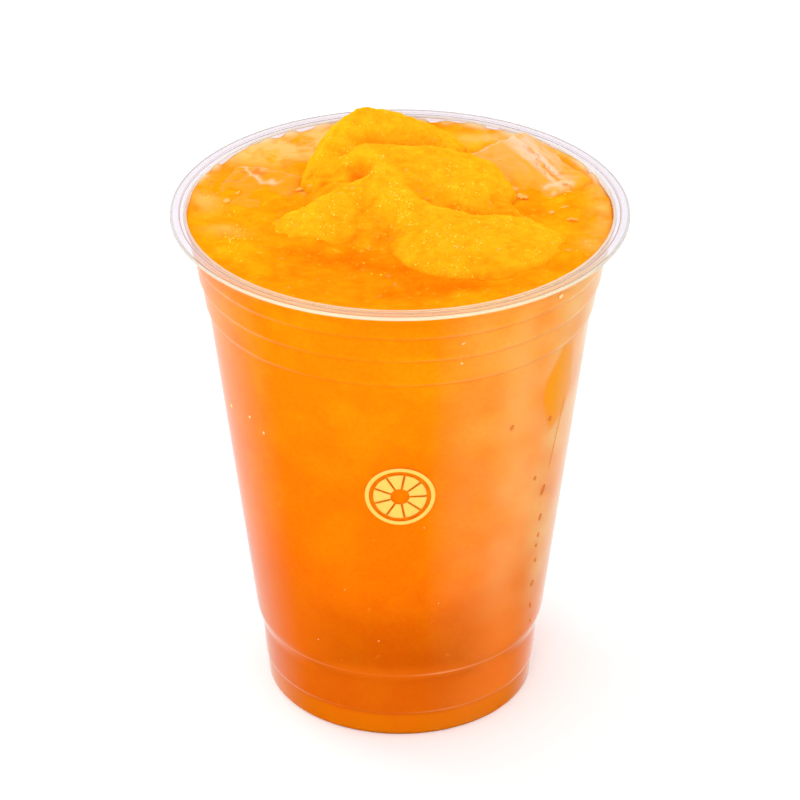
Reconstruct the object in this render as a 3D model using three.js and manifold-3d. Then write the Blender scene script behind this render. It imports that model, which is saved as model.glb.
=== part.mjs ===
// Iced tangerine tea in a clear tapered cup, filled almost to the rim: a swirled heap of tangerine
// slush stands in the middle, and two ice cubes float behind it. Millimetres, +Z up, origin at the
// middle of the cup's base. The front of the drink, where the long slush tongue points, is -Y.
import * as THREE from 'three';
import { mergeVertices } from 'three/addons/utils/BufferGeometryUtils.js';
import { RoundedBoxGeometry } from 'three/addons/geometries/RoundedBoxGeometry.js';
import Module from 'manifold-3d';

// Cup
const RIM_RADIUS = 49; // a standard 98 mm cup
const CUP_HEIGHT = 115.3;
const WALL = 0.5;
const STAND_RING = { inner: 26.9, outer: 28.1, corner: 1.25 }; // the flat ring the cup stands on
const PUSH_UP = { radius: 24.5, height: 3.25 }; // the raised middle of the base
const FOOT = { bead: 6.0, beadStep: 0.3, top: 15.2, taper: 0.085 }; // the upright band above the base
const SHOULDER_RISE = 3.4; // the slanted step from the foot to the tapered wall
const SIDE = { base: 29.47, taper: 0.1232 }; // middle of the wall: radius at z = 0, growth for each mm up
const RIBS = [95.3, 101.7, 107.7]; // stacking ribs, heights of their middles
const RIB_STEP = 0.55;
const RIB_RISE = 1.1;
const NECK = { height: 110.6, rise: 2.6, flare: 0.45 }; // the slight flare under the rim
const LIP = { foot: 113.6, lean: 0.12, height: 0.8, end: 46.9, corner: 0.25 }; // the flat rolled rim

// Drink
const LEVEL = 113.9; // 1.4 mm under the rim
const CLEARANCE = 0.3; // between neighbouring pieces
const EDGE_CREEP = 0.8; // how much wider the surface's edge is than the wall's last bend below it
const ROUND_STEPS = 60;
const SURFACE_RINGS = 9;
// Swells and hollows of the drink's surface: x, y, reach across, reach along, height
const SWELLS = [
  [-35, -18.9, 5, 5, 0.8],
  [4, -25, 13, 8, -0.9],
  [-20, -31, 8, 8, 0.4],
  [26, -33, 7, 7, 0.4],
  [-30, 30, 8, 8, 0.4],
  [38, -8, 7, 7, -0.4],
  [17.5, 33.5, 5, 3, 0.7],
];
const RIPPLE = { height: 0.18, across: 2.2, along: 2.6, slant: 0.4 };

// Slush heap: each lobe is a soft ridge through its stations, from end to end.
// A station is x, y, crest height over the drink, half width to the left of the way on, and to the right.
const LOBES = {
  body: {
    squareness: 0.55,
    stations: [[-13.5, 8, 2.6, 7.5, 9], [-2, 11, 7.2, 13, 14], [9, 5, 5.4, 13, 12]],
  },
  apron: {
    squareness: 0.55,
    stations: [[-10, 0, 4.6, 7, 7], [-6.5, -6, 3.6, 7, 7], [-4, -11, 2.4, 6, 6], [-1.5, -15, 1.5, 4, 4]],
  },
  rightApron: {
    squareness: 0.6,
    stations: [[14, 6, 4.4, 7, 7], [19, 2, 3, 6, 6], [23.5, -1, 1.6, 5, 5]],
  },
  shoulder: {
    squareness: 0.5,
    stations: [[-17, 14, 3.4, 4.5, 5], [-12.5, 16.5, 6, 6, 5], [-8, 16, 7.6, 5, 5]],
  },
  back: {
    squareness: 0.55,
    stations: [
      [-19.5, 13, 1.6, 3.4, 3.5], [-16, 21, 6.8, 4.2, 6.5], [-10.5, 28, 11.1, 6.2, 8.5],
      [-4.8, 30.2, 11.7, 7.5, 8.5], [2.5, 30.8, 8.6, 6.5, 7.5], [9, 31, 5.4, 5, 6],
    ],
  },
  middle: {
    squareness: 0.42,
    stations: [[-7, 17.5, 9, 6.5, 5], [2, 16.8, 9, 6.5, 13], [9.5, 15, 8.7, 7, 13], [15.5, 13, 8, 7, 12]],
  },
  centre: {
    squareness: 0.6,
    stations: [[-3.2, 8.2, 9, 5.2, 6], [-1, -1.5, 8.4, 7, 6.5], [3, -9, 6.6, 8, 5.5]],
  },
  left: {
    squareness: 0.5,
    stations: [
      [-26, -5, 1.6, 2.5, 5], [-19, -1.5, 3.8, 3, 12], [-12, 3, 5.6, 3.2, 14.5], [-4.5, 8, 7.9, 3.6, 9],
    ],
  },
  front: {
    squareness: 0.5,
    stations: [
      [3, -6, 7.2, 7, 6], [8.5, -10, 7, 7.5, 10], [14.5, -12, 6.6, 8, 17.5], [20.5, -12, 5.9, 8.6, 15.5],
      [23.2, -11.2, 5.3, 8.8, 11],
    ],
  },
};
const HEAP_FOOT = 113; // the height that the lobes stand on, under the drink's level
const STATION_STEPS = 12; // points worked out between two stations
const LOBE_BLEND = 1.1; // how softly one lobe runs into the next
const SIDE_BLEND = 6;
const CREVICE = { x: -8.3, y: 10.9, reach: 3, depth: 4.4 };
const SLUSH_SETTLE = 0.8; // how far the whole heap sits into the drink
const SLUSH_DRAFT = 4; // the heap's flat underside, below the level
const SLUSH_CENTRE = [2, 4];
const SLUSH_STEPS = 60;
const SLUSH_RINGS = 18;
const SLUSH_SKIRT = 0.05; // least height of the heap's thin edge
const REACH_STEP = 0.1; // in the search for the heap's foot
const POCKET_RISE = 8; // over the level, so that the heap's room in the drink is open upwards

// Ice cubes: size along and across the cup's radius and upright, place, and lean outwards and sideways
const ICE = {
  ice_cube_back_right: {
    depth: 20, width: 27, height: 19, turn: 37, radius: 34.5, top: 115.1, lean: -4, roll: 4,
  },
  ice_cube_back_left: {
    depth: 17, width: 18.5, height: 18, turn: 158, radius: 33.6, top: 114.5, lean: -1.5, roll: -6,
  },
};
const ICE_ROUND = 2.4;
const ICE_INSET = 1.6; // from the middle of the cup's wall
const MELT = { share: 0.03, across: 0.23, along: 0.31, up: 0.27, slant: 0.11 }; // waves that bend the faces

const MATERIALS = {
  clearCup: new THREE.MeshStandardMaterial({
    color: 0xf2f4f6, roughness: 0.08, metalness: 0, transparent: true, opacity: 0.3,
  }),
  tea: new THREE.MeshStandardMaterial({ color: 0xff8c0a, roughness: 0.25, metalness: 0 }),
  slush: new THREE.MeshStandardMaterial({ color: 0xffb014, roughness: 0.35, metalness: 0 }),
  ice: new THREE.MeshStandardMaterial({
    color: 0xffe2b8, roughness: 0.12, metalness: 0, transparent: true, opacity: 0.55,
  }),
};

const wasm = await Module();
wasm.setup();

// Points along an arc, both ends included
function arc(cx, cy, radius, from, to, steps) {
  return Array.from({ length: steps + 1 }, (_, i) => {
    const a = from + ((to - from) * i) / steps;
    return new THREE.Vector2(cx + radius * Math.cos(a), cy + radius * Math.sin(a));
  });
}

// Middle of the cup's wall at a height, above the foot
function sideRadius(z) {
  const ribs = RIBS.filter((rib) => z > rib).length * RIB_STEP;
  return SIDE.base + SIDE.taper * z + ribs + (z > NECK.height + NECK.rise / 2 ? NECK.flare : 0);
}

// The middle of the cup's wall, from the axis out along the base and up the side to the rim's foot
function cupPath() {
  const v = (r, z) => new THREE.Vector2(r, z);
  const half = WALL / 2;
  const { inner, outer, corner } = STAND_RING;
  const path = [v(0, PUSH_UP.height), v(PUSH_UP.radius, PUSH_UP.height), v(inner, half)];
  path.push(...arc(outer, half + corner, corner, -Math.PI / 2, 0, 3));
  const footBase = outer + corner;
  const footRadius = (z) => footBase + FOOT.taper * (z - corner);
  path.push(v(footRadius(FOOT.bead) - FOOT.beadStep / 2, FOOT.bead));
  path.push(v(footRadius(FOOT.bead) + FOOT.beadStep / 2, FOOT.bead + 2 * FOOT.beadStep));
  path.push(v(footRadius(FOOT.top), FOOT.top));
  const shoulderTop = FOOT.top + SHOULDER_RISE;
  path.push(v(sideRadius(shoulderTop), shoulderTop));
  for (const rib of RIBS) {
    const [low, high] = [rib - RIB_RISE / 2, rib + RIB_RISE / 2];
    path.push(v(sideRadius(low), low), v(sideRadius(high), high));
  }
  path.push(v(sideRadius(NECK.height), NECK.height));
  for (const z of [NECK.height + NECK.rise, LIP.foot]) path.push(v(sideRadius(z), z));
  return path;
}

// The path moved sideways by a distance, to the left of the way along it when positive
function offset(path, distance) {
  const normals = path.slice(1).map((p, i) => {
    const d = p.clone().sub(path[i]).normalize();
    return new THREE.Vector2(-d.y, d.x);
  });
  return path.map((p, i) => {
    const before = normals[Math.max(i - 1, 0)];
    const after = normals[Math.min(i, normals.length - 1)];
    const mitre = before.clone().add(after).normalize();
    return p.clone().addScaledVector(mitre, distance / mitre.dot(after));
  });
}

// One closed body from any geometry: corners merged, slivers dropped, faces turned outwards
function closed(geometry) {
  geometry.deleteAttribute('normal');
  geometry.deleteAttribute('uv');
  const merged = mergeVertices(geometry.index ? geometry.toNonIndexed() : geometry, 1e-4);
  const position = merged.attributes.position;
  const point = (i) => new THREE.Vector3().fromBufferAttribute(position, i);
  const index = [];
  let volume = 0;
  for (let i = 0; i < merged.index.count; i += 3) {
    const [a, b, c] = [0, 1, 2].map((k) => merged.index.getX(i + k));
    if (a === b || b === c || c === a) continue;
    index.push(a, b, c);
    volume += point(a).dot(point(b).cross(point(c)));
  }
  if (volume < 0) {
    for (let i = 0; i < index.length; i += 3) [index[i], index[i + 1]] = [index[i + 1], index[i]];
  }
  merged.setIndex(index);
  return merged;
}

function solid(geometry) {
  return new wasm.Manifold(
    new wasm.Mesh({
      numProp: 3,
      vertProperties: new Float32Array(geometry.attributes.position.array),
      triVerts: new Uint32Array(geometry.index.array),
    }),
  );
}

function fromSolid(body) {
  const mesh = body.getMesh();
  const geometry = new THREE.BufferGeometry();
  geometry.setAttribute('position', new THREE.BufferAttribute(new Float32Array(mesh.vertProperties), 3));
  geometry.setIndex(new THREE.BufferAttribute(new Uint32Array(mesh.triVerts), 1));
  return geometry;
}

// A profile of radius and height turned about +Z
function turned(profile) {
  return closed(new THREE.LatheGeometry(profile, ROUND_STEPS).rotateX(Math.PI / 2));
}

// The flat rim, from the wall's outer face out under it, round its edge and back over the top
function lipProfile(outside, inside) {
  const v = (r, z) => new THREE.Vector2(r, z);
  const [top, under, foot] = [CUP_HEIGHT, CUP_HEIGHT - WALL, CUP_HEIGHT - LIP.height];
  return [
    v(outside.x + LIP.lean, under),
    v(LIP.end, under),
    v(LIP.end, foot),
    v(RIM_RADIUS - LIP.corner, foot),
    v(RIM_RADIUS, foot + LIP.corner),
    v(RIM_RADIUS, top - LIP.corner),
    v(RIM_RADIUS - LIP.corner, top),
    v(inside.x + LIP.lean + LIP.corner, top),
    v(inside.x + LIP.lean, top - LIP.corner),
  ];
}

function cupGeometry() {
  const path = cupPath();
  const outside = offset(path, -WALL / 2);
  const inside = offset(path, WALL / 2);
  const lip = lipProfile(outside[outside.length - 1], inside[inside.length - 1]);
  return turned([...outside, ...lip, ...inside.reverse()]);
}

// Height of the drink's uneven surface over its level
function surfaceRelief(x, y) {
  const wave = Math.sin((x + RIPPLE.slant * y) / RIPPLE.across) * Math.cos(y / RIPPLE.along);
  return SWELLS.reduce((sum, [cx, cy, across, along, height]) => {
    return sum + height * Math.exp(-(((x - cx) / across) ** 2) - ((y - cy) / along) ** 2);
  }, RIPPLE.height * wave);
}

// The tea fills the cup up to its level
function teaGeometry() {
  const inside = offset(cupPath(), WALL / 2 + CLEARANCE);
  const wall = inside.slice(0, inside.findIndex((p) => p.y > NECK.height + CLEARANCE));
  const edge = wall[wall.length - 1].x + EDGE_CREEP;
  const surface = Array.from({ length: SURFACE_RINGS + 1 }, (_, i) => {
    return new THREE.Vector2(edge * (1 - i / SURFACE_RINGS), LEVEL);
  });
  const geometry = turned([...wall, ...surface]);
  const position = geometry.attributes.position;
  for (let i = 0; i < position.count; i += 1) {
    const [x, y, z] = [position.getX(i), position.getY(i), position.getZ(i)];
    if (z > LEVEL - 0.01) position.setZ(i, LEVEL + surfaceRelief(x, y));
  }
  return geometry;
}

// Catmull-Rom points through a lobe's stations, all five numbers at once
function alongLobe(stations) {
  const ends = [stations[0], ...stations, stations[stations.length - 1]];
  const points = [];
  for (let i = 1; i < ends.length - 2; i += 1) {
    for (let j = 0; j < STATION_STEPS; j += 1) {
      const t = j / STATION_STEPS;
      const [a, b, c, d] = ends.slice(i - 1, i + 3);
      points.push(
        b.map((_, k) => {
          const curve = 2 * a[k] - 5 * b[k] + 4 * c[k] - d[k];
          const twist = 3 * b[k] - a[k] - 3 * c[k] + d[k];
          return 0.5 * (2 * b[k] + (c[k] - a[k]) * t + curve * t * t + twist * t ** 3);
        }),
      );
    }
  }
  points.push(stations[stations.length - 1]);
  return points;
}

const lobePoints = Object.values(LOBES).map(({ squareness, stations }) => {
  const points = alongLobe(stations);
  const heading = points.map((_, i) => {
    const [a, b] = [points[Math.max(i - 1, 0)], points[Math.min(i + 1, points.length - 1)]];
    return new THREE.Vector2(b[0] - a[0], b[1] - a[1]).normalize();
  });
  return { squareness, points, heading };
});

// Height of one lobe at a place: the tallest of the round bumps that stand along it
function lobeHeight({ squareness, points, heading }, x, y) {
  let height = -Infinity;
  points.forEach(([px, py, crest, left, right], i) => {
    const side = heading[i].x * (y - py) - heading[i].y * (x - px);
    const share = 0.5 + (0.5 * side) / Math.sqrt(side * side + SIDE_BLEND);
    const width = left * share + right * (1 - share);
    const reach = Math.hypot(x - px, y - py) / width;
    const here = reach < 1 ? crest * (1 - reach * reach) ** squareness : (1 - reach) * width;
    height = Math.max(height, here);
  });
  return height;
}

// Height of the slush heap's top at a place, also where it lies under the drink
function slushTop(x, y) {
  const joined = lobePoints
    .map((lobe) => lobeHeight(lobe, x, y))
    .reduce((a, b) => 0.5 * (a + b + Math.hypot(a - b, LOBE_BLEND)));
  const away = ((x - CREVICE.x) ** 2 + (y - CREVICE.y) ** 2) / CREVICE.reach ** 2;
  return HEAP_FOOT + joined - CREVICE.depth * Math.exp(-away) - SLUSH_SETTLE;
}

// Distance from the heap's centre to its foot, in a direction
function slushReach(angle) {
  for (let r = RIM_RADIUS; r > 0; r -= REACH_STEP) {
    const [x, y] = [SLUSH_CENTRE[0] + r * Math.cos(angle), SLUSH_CENTRE[1] + r * Math.sin(angle)];
    if (slushTop(x, y) > LEVEL) return r;
  }
  return 0;
}

// A round body on the heap's outline: a top surface, a straight side and a flat underside
function heapGeometry(grow, top, bottom) {
  const position = [];
  const index = [];
  const [cx, cy] = SLUSH_CENTRE;
  const place = (angle, r, z) => position.push(cx + r * Math.cos(angle), cy + r * Math.sin(angle), z);
  position.push(cx, cy, top(cx, cy), cx, cy, bottom);
  for (let i = 0; i < SLUSH_STEPS; i += 1) {
    const angle = (2 * Math.PI * i) / SLUSH_STEPS;
    const reach = slushReach(angle) + grow;
    for (let j = 1; j <= SLUSH_RINGS; j += 1) {
      const r = (reach * j) / SLUSH_RINGS;
      place(angle, r, top(cx + r * Math.cos(angle), cy + r * Math.sin(angle)));
    }
    place(angle, reach, bottom);
  }
  const column = SLUSH_RINGS + 1;
  for (let i = 0; i < SLUSH_STEPS; i += 1) {
    const here = 2 + i * column;
    const next = 2 + ((i + 1) % SLUSH_STEPS) * column;
    index.push(0, here, next);
    for (let j = 0; j < column - 1; j += 1) {
      index.push(here + j, here + j + 1, next + j + 1, here + j, next + j + 1, next + j);
    }
    index.push(here + column - 1, 1, next + column - 1);
  }
  const geometry = new THREE.BufferGeometry();
  geometry.setAttribute('position', new THREE.Float32BufferAttribute(position, 3));
  geometry.setIndex(index);
  return closed(geometry);
}

function slushGeometry() {
  const top = (x, y) => Math.max(slushTop(x, y), LEVEL + SLUSH_SKIRT);
  return heapGeometry(0, top, LEVEL - SLUSH_DRAFT);
}

// The room the heap needs in the drink, open upwards
function slushPocket() {
  return heapGeometry(CLEARANCE, () => LEVEL + POCKET_RISE, LEVEL - SLUSH_DRAFT - CLEARANCE);
}

// A melted cube: a rounded block with softly bent faces, drawn in where it would come near the wall
function iceGeometry({ depth, width, height, turn, radius, top, lean, roll }, grow = 0) {
  const sizes = [depth, width, height].map((size) => size + 2 * grow);
  const geometry = new RoundedBoxGeometry(...sizes, 2, ICE_ROUND + grow);
  const position = geometry.attributes.position;
  for (let i = 0; i < position.count; i += 1) {
    const [x, y, z] = [position.getX(i), position.getY(i), position.getZ(i)];
    const wave = Math.sin(x * MELT.across + y * MELT.along) * Math.cos(z * MELT.up + y * MELT.slant);
    const bend = 1 + MELT.share * wave;
    position.setXYZ(i, x * bend, y * bend, z * bend);
  }
  geometry.rotateX(THREE.MathUtils.degToRad(roll));
  geometry.rotateY(THREE.MathUtils.degToRad(lean));
  geometry.translate(radius, 0, top - height / 2);
  geometry.rotateZ(THREE.MathUtils.degToRad(turn));
  for (let i = 0; i < position.count; i += 1) {
    const [x, y, z] = [position.getX(i), position.getY(i), position.getZ(i)];
    const room = Math.min(1, (sideRadius(z) - ICE_INSET + grow) / Math.hypot(x, y));
    position.setXYZ(i, x * room, y * room, z);
  }
  return closed(geometry);
}

function piece(name, geometry, material) {
  geometry.computeVertexNormals();
  const mesh = new THREE.Mesh(geometry, material);
  mesh.name = name;
  return mesh;
}

const icePockets = Object.values(ICE).map((cube) => solid(iceGeometry(cube, CLEARANCE)));
const cutForIce = (body) => icePockets.reduce((rest, pocket) => rest.subtract(pocket), body);

const drink = new THREE.Group();
drink.add(piece('cup', cupGeometry(), MATERIALS.clearCup));
const tea = cutForIce(solid(teaGeometry()).subtract(solid(slushPocket())));
const slush = cutForIce(solid(slushGeometry()));
drink.add(piece('tea', fromSolid(tea), MATERIALS.tea));
drink.add(piece('tangerine_slush', fromSolid(slush), MATERIALS.slush));
for (const [name, cube] of Object.entries(ICE)) {
  drink.add(piece(name, iceGeometry(cube), MATERIALS.ice));
}

export default drink;
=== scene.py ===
"""Iced tangerine tea in a clear cup: the finish of every surface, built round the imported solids."""

import math
import random

import bmesh
import bpy
import numpy as np
from mathutils import Matrix, Vector


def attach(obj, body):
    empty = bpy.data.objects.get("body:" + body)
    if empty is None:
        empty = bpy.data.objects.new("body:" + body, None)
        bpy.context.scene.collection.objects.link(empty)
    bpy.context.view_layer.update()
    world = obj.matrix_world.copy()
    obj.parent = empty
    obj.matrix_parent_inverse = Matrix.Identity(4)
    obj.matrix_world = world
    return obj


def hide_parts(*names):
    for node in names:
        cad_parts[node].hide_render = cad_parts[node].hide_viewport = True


bl_info = {
    "name": "Iced Tangerine Tea",
    "version": (1, 0, 0),
    "blender": (4, 5, 0),
    "location": "3D View > Sidebar > Drinks",
    "description": "Builds a clear cup of iced tangerine tea with a heap of slush and ice",
    "category": "Add Mesh",
}

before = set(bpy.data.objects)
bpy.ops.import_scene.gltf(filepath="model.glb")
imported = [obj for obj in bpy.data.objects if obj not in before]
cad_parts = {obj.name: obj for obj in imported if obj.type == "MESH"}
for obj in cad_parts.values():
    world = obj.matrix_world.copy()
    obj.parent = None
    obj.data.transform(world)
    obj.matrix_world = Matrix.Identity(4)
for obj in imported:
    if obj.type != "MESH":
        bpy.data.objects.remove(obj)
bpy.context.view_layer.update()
MM = 0.001

# The cup, in millimetres, as in the solids
RIM_RADIUS = 49.0
CUP_HEIGHT = 115.3
WALL = 0.5
LIP_END = 46.9
LIP_HEIGHT = 0.8
LIP_LEAN = 0.12
# Where the rim's parts end, as radii: pale inner edge, flat, fine line, flat, fine line, pale outer edge; the
# pale edges are painted highlight and the fine lines painted shade
RIM_PARTS = (46.0, 46.9, 47.2, 48.35, 48.7)
PUSH_UP_RADIUS = 24.5
PUSH_UP_HEIGHT = 3.25
RING_INNER = 26.9
RING_OUTER = 29.35
FOOT_BEAD = 6.0
BEAD_STEP = 0.3
FOOT_TOP = 15.2
FOOT_TAPER = 0.085
SHOULDER_RISE = 3.4
SIDE_BASE = 29.47
SIDE_TAPER = 0.1232
RIBS = (95.3, 101.7, 107.7)
RIB_STEP = 0.55
RIB_RISE = 1.1
NECK_HEIGHT = 110.6
NECK_RISE = 2.6
NECK_FLARE = 0.45
LIP_FOOT = 113.6

# The drink
LEVEL = 113.9
TEA_IN_WALL = 0.1
# Swells and hollows of the drink's surface: x, y, reach across, reach along, height
SWELLS = (
    (-35, -18.9, 5, 5, 0.8), (4, -25, 13, 8, -0.9), (-20, -31, 8, 8, 0.4), (26, -33, 7, 7, 0.4),
    (-30, 30, 8, 8, 0.4), (38, -8, 7, 7, -0.4), (17.5, 33.5, 5, 3, 0.7),
)

# The height that the slush heap's lobes stand on
HEAP_FOOT = 113.0

# Pale film on the drink's surface, partly painted reflection: x, y, reach across, reach along, share
PALE_FILM = (
    (-42, 6, 3.5, 4.5, 0.55), (-43, 16, 3, 4, 0.6), (-37, -8, 4, 2.5, 0.35), (-36, 30, 6, 4.5, 1),
    (-25, 32.5, 8, 7, 1.3), (-17, 34, 5, 6, 1.2), (-21.5, 38.5, 7, 3.5, 1.2), (-22, 11.5, 2.5, 2, 0.6),
    (43.5, 2, 2.5, 9, 0.6), (43.5, 18, 3, 6, 0.6), (41, -13, 3, 5, 0.4), (34, 29, 9, 4.5, 1),
    (22, 37, 5, 3, 0.9), (-28.3, 26, 3, 2.5, 0.65), (-20.5, 24.5, 3, 3, -0.4),
    (-38.5, 11.5, 2.5, 2.5, -0.4), (-23.5, 16.6, 2, 2, 0.4), (14, 36, 4, 3, 0.4), (-33, 15, 3, 3, 0.25),
)
# How far the drink's surface turns from orange, below 0, to yellow, above 0, where the orange is partly
# painted shade: x, y, reaches, share
SURFACE_TONES = (
    (-4, -34, 24, 10, -0.5), (-8.8, -17.4, 6, 4, -0.5), (-2, -24, 9, 4.5, -0.5), (3, -28.5, 6, 3.5, -0.35),
    (11, -32, 5, 2.2, -0.6), (-15, -20.5, 7, 5.5, -0.5), (-22.7, -17.4, 5, 6, -0.35),
    (-8.8, -21, 4, 5, -0.2), (28, 1, 6, 2.5, -0.4), (-24, 2, 5, 5, -0.2), (5, -35, 8, 3, -0.3),
    (40, -7, 4, 5, -0.2), (21, -32, 6, 2.5, -0.2), (-28.5, -24, 2.6, 3, 0.5), (-35, -16.5, 4.5, 4.5, 0.6),
    (-36, -2, 4, 5, 0.2), (-25.5, -28.5, 3.5, 2.5, -0.4), (13.2, -32.6, 4.5, 2.4, -0.45),
    (33.5, -4.5, 5, 3.5, 0.4), (0, -37, 7, 3, -0.3), (-38.5, -4, 3, 4, -0.5), (-31, 12.5, 4, 2, 0.5),
    (-23.5, 12.4, 3, 2, 0.5), (11, 39, 8, 3, 0.4), (37, -10, 3, 4, 0.3), (-20.7, -18.3, 4, 3, -0.3),
    (-9, -35.7, 4, 2.5, 0.2), (9, -39.1, 4, 2, 0.35), (16, -36.8, 6, 2.5, 0.35), (9.6, 34, 6, 5, 0.6),
    (16, 33, 5, 5, 0.6), (-30, 4, 8, 3, 0.15), (34, 5, 4, 3, 0.4), (-28.5, 27, 5, 4, 0.5),
    (-40, -3, 5, 8, 0.3), (20, -32, 4, 2, -0.1), (-22.8, -26, 4, 3, -0.3),
)
# The same for the slush heap, where the darker spots in its creases and crevice are partly painted shade
HEAP_TONES = (
    (-5.5, 13.5, 3.5, 3, 0.4), (-11.8, 25.5, 5, 5, 0.5), (-19, -5, 5, 4, 0.7), (-24, -6.5, 3, 3, 0.4),
    (29.7, -14, 3.5, 4.5, 0.5), (0.6, -6, 2.4, 7, 0.7), (9.1, -17.5, 6, 5, 0.5), (8.2, -23.5, 3, 3, 0.4),
    (14.5, 5, 6, 4, 0.5), (23.3, -10, 4, 3, 0.6), (20, -19, 5, 3, 0.4), (4, 30, 3, 3, 0.2),
    (-8.2, 12.5, 1.8, 1.6, -0.5), (-9, 10.5, 2.4, 1.8, -0.3), (-6, 13.8, 2, 1.5, 0.5),
    (4.1, 4.1, 3.5, 3, -0.35), (2.1, -22.5, 3, 1.6, 0.9), (10.4, -22.2, 4, 2, -0.4),
    (2.1, -18.5, 2.5, 1.6, -0.3), (-19.4, 14.3, 2.5, 2.5, -0.3), (-15, 7.7, 3, 2.5, -0.2),
    (-3.3, 26.3, 3.5, 2.5, -0.3), (20.9, -17.7, 3, 2.5, -0.25), (-3.2, 6.8, 2.5, 2, 0.4),
    (10.7, 5.8, 4, 3, 0.3), (0, 24.5, 8, 1.8, 0.5), (-12.5, -12, 3, 2, 0.4), (18.5, -27.5, 5, 2, -0.7),
    (-6, 25, 3, 2.5, -0.4), (14, -19.5, 3, 2, -0.3), (-4, -7, 2.5, 2, 0.5), (-6.5, -9, 5, 5, -0.7),
    (-9, -5.5, 2.5, 3, -0.5), (-2, -14, 5, 5, -0.9), (-16.5, 9.5, 5, 4.5, -0.8), (-12, 6, 4, 2.5, -0.5),
    (7.5, 0.1, 3, 1.5, -0.5), (11, -1.9, 3.5, 1.3, -1.2), (16, -2.5, 3, 1.2, -0.7),
    (22, 1.4, 3.5, 2.5, -0.8), (26.1, -21.5, 3.5, 2.5, -0.3), (17.9, -27, 5, 2.5, -0.5),
    (3.3, 25.6, 6, 2.5, -0.3), (5, -22.5, 4, 4, -0.8), (-14, -11.4, 6, 2.5, -0.2),
    (-11.5, -4.5, 3, 3.5, -0.3), (19, 2.2, 3, 2, 0.6), (-1, 24.5, 8, 2.5, 0.6), (-18.5, 6.5, 3, 3, -0.4),
    (-1, -4.8, 2, 2, 0.2),
)
# Clusters of sparkling grains on the heap: x, y, reach, number of grains
SPARKLES = (
    (-11.9, 17.5, 0.7, 7), (-11.6, 15, 0.5, 5), (-11.3, 20.3, 0.6, 4), (-6.1, 6.4, 0.6, 5),
    (-3.8, 12.2, 0.7, 8), (-4.6, 7.5, 0.7, 7), (-2, -3.5, 1.2, 16), (-0.3, -5.9, 1.2, 16),
    (2.3, -11, 0.5, 6), (0.8, -8.3, 0.9, 12), (-8.9, -3.1, 1.6, 9), (-14.6, -0.5, 0.7, 5),
    (-20.1, -4.2, 0.4, 4), (-23.1, -6.2, 0.5, 4), (-15.7, -9.5, 1.6, 14), (-12.3, -7.9, 1.2, 8),
    (-17, -13.6, 0.9, 10), (7.8, -17.3, 0.7, 8), (10, -18.3, 1.2, 10), (11.6, -24.6, 0.6, 5),
    (13.3, -21.2, 1.2, 8), (16.7, -20.9, 0.7, 7), (9.3, -27.6, 0.4, 7), (11.3, -28.4, 0.5, 8),
    (14.5, -28.8, 0.8, 9), (5.9, -25, 0.5, 4), (3.6, -23.8, 0.6, 4), (13.7, 3.6, 0.8, 7),
    (10.7, 9.8, 0.8, 8), (9.3, 4.9, 0.6, 4), (16.7, 5.1, 0.8, 6), (12.7, -1.4, 0.5, 5),
    (28.6, -21.5, 0.8, 5), (1, 27.2, 0.9, 5), (-10.9, 24, 1, 4), (5.2, -16.1, 0.4, 3), (6.5, -19.6, 1.2, 7),
    (17.7, -14.5, 1, 6), (23.3, -11.3, 1.4, 8),
)

# The same afloat on the drink
AFLOAT = (
    (-34.9, -11.6, 1.5, 22), (-33, -7.4, 0.6, 5), (-35, 0.2, 0.6, 6), (-33.8, -18, 1.6, 12),
    (-37.5, 4.8, 0.6, 4), (-41.5, 8, 0.6, 5), (-35.3, 9, 0.5, 3), (-27, 13.6, 0.3, 5), (34, 11.5, 1.2, 8),
    (-6, -20, 3, 8), (24, -27, 1.2, 5),
)

# Soft flakes of ice that float at the surface: x, y, length, width, turn in degrees
FLAKES = (
    (24.4, 11.9, 2.4, 1.8, -30), (26.2, 8.4, 3, 2, -45), (33, 11.6, 4.6, 2, -8), (36, 10.3, 1.8, 1.4, 30),
    (32.2, 0.6, 1.4, 1.1, 10), (35.7, 3, 3.4, 1, 8), (36.7, -2.4, 2.6, 0.8, 4), (-22, 11.8, 2.2, 1.8, 12),
    (-37.1, 6.3, 1.8, 1.5, 40), (-35.2, 9.2, 1.3, 1.1, 20),
)

# Drops on the wall: azimuth from the front in degrees, height, width, length, lean in degrees
ORANGE_DROPS = (
    (36.6, 79.7, 0.8, 1.4, 20), (50.5, 62.7, 0.7, 1.2, 15), (56.8, 57.6, 0.9, 2.8, 22),
    (57.6, 50.2, 0.8, 1.8, 22), (58.1, 45.3, 0.5, 1.3, 10), (57.7, 42.7, 0.5, 0.9, 10),
    (58.8, 38.4, 0.7, 1, 0), (59.2, 32.1, 0.8, 1.6, 24), (60.5, 25.7, 0.7, 1.5, 4),
    (62.9, 20.8, 0.5, 0.8, 0), (54.5, 76.8, 0.8, 1.3, 0), (60.5, 71, 0.16, 19, 9),
)
# Pale drops and specks, their pale colour a painted highlight
PALE_DROP_GLINTS = (
    (-67.4, 75.5, 0.9, 1.3, 0), (-54.3, 77.3, 0.6, 0.8, 20), (-47.7, 75.3, 0.5, 0.9, 0),
    (17.4, 100.2, 0.6, 0.5, 30), (17.3, 105.5, 1, 0.35, -25), (47.9, 110.2, 1.4, 1.1, 0),
    (8, 58, 0.3, 0.3, 0), (-20, 40, 0.3, 0.3, 0), (14, 37, 0.3, 0.3, 0), (-33, 24, 0.3, 0.3, 0),
    (-8, 27, 0.35, 0.35, 0),
)

# Level lines where the wall's bends catch the light: height, half width and share
LIGHT_LINES = ((6.3, 0.4, 0.45), (17, 0.5, 0.8), (95.5, 0.4, 0.3), (101.9, 0.4, 0.3), (107.9, 0.4, 0.3))

# Heights on the side of the glow, which is painted light: its top over the foot, its ends on the sides and
# its middle on the shoulder
FOOT_GLOW_TOP = 19
SIDES_GLOW = (12, 52)
SHOULDER_GLOW = 17
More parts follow.
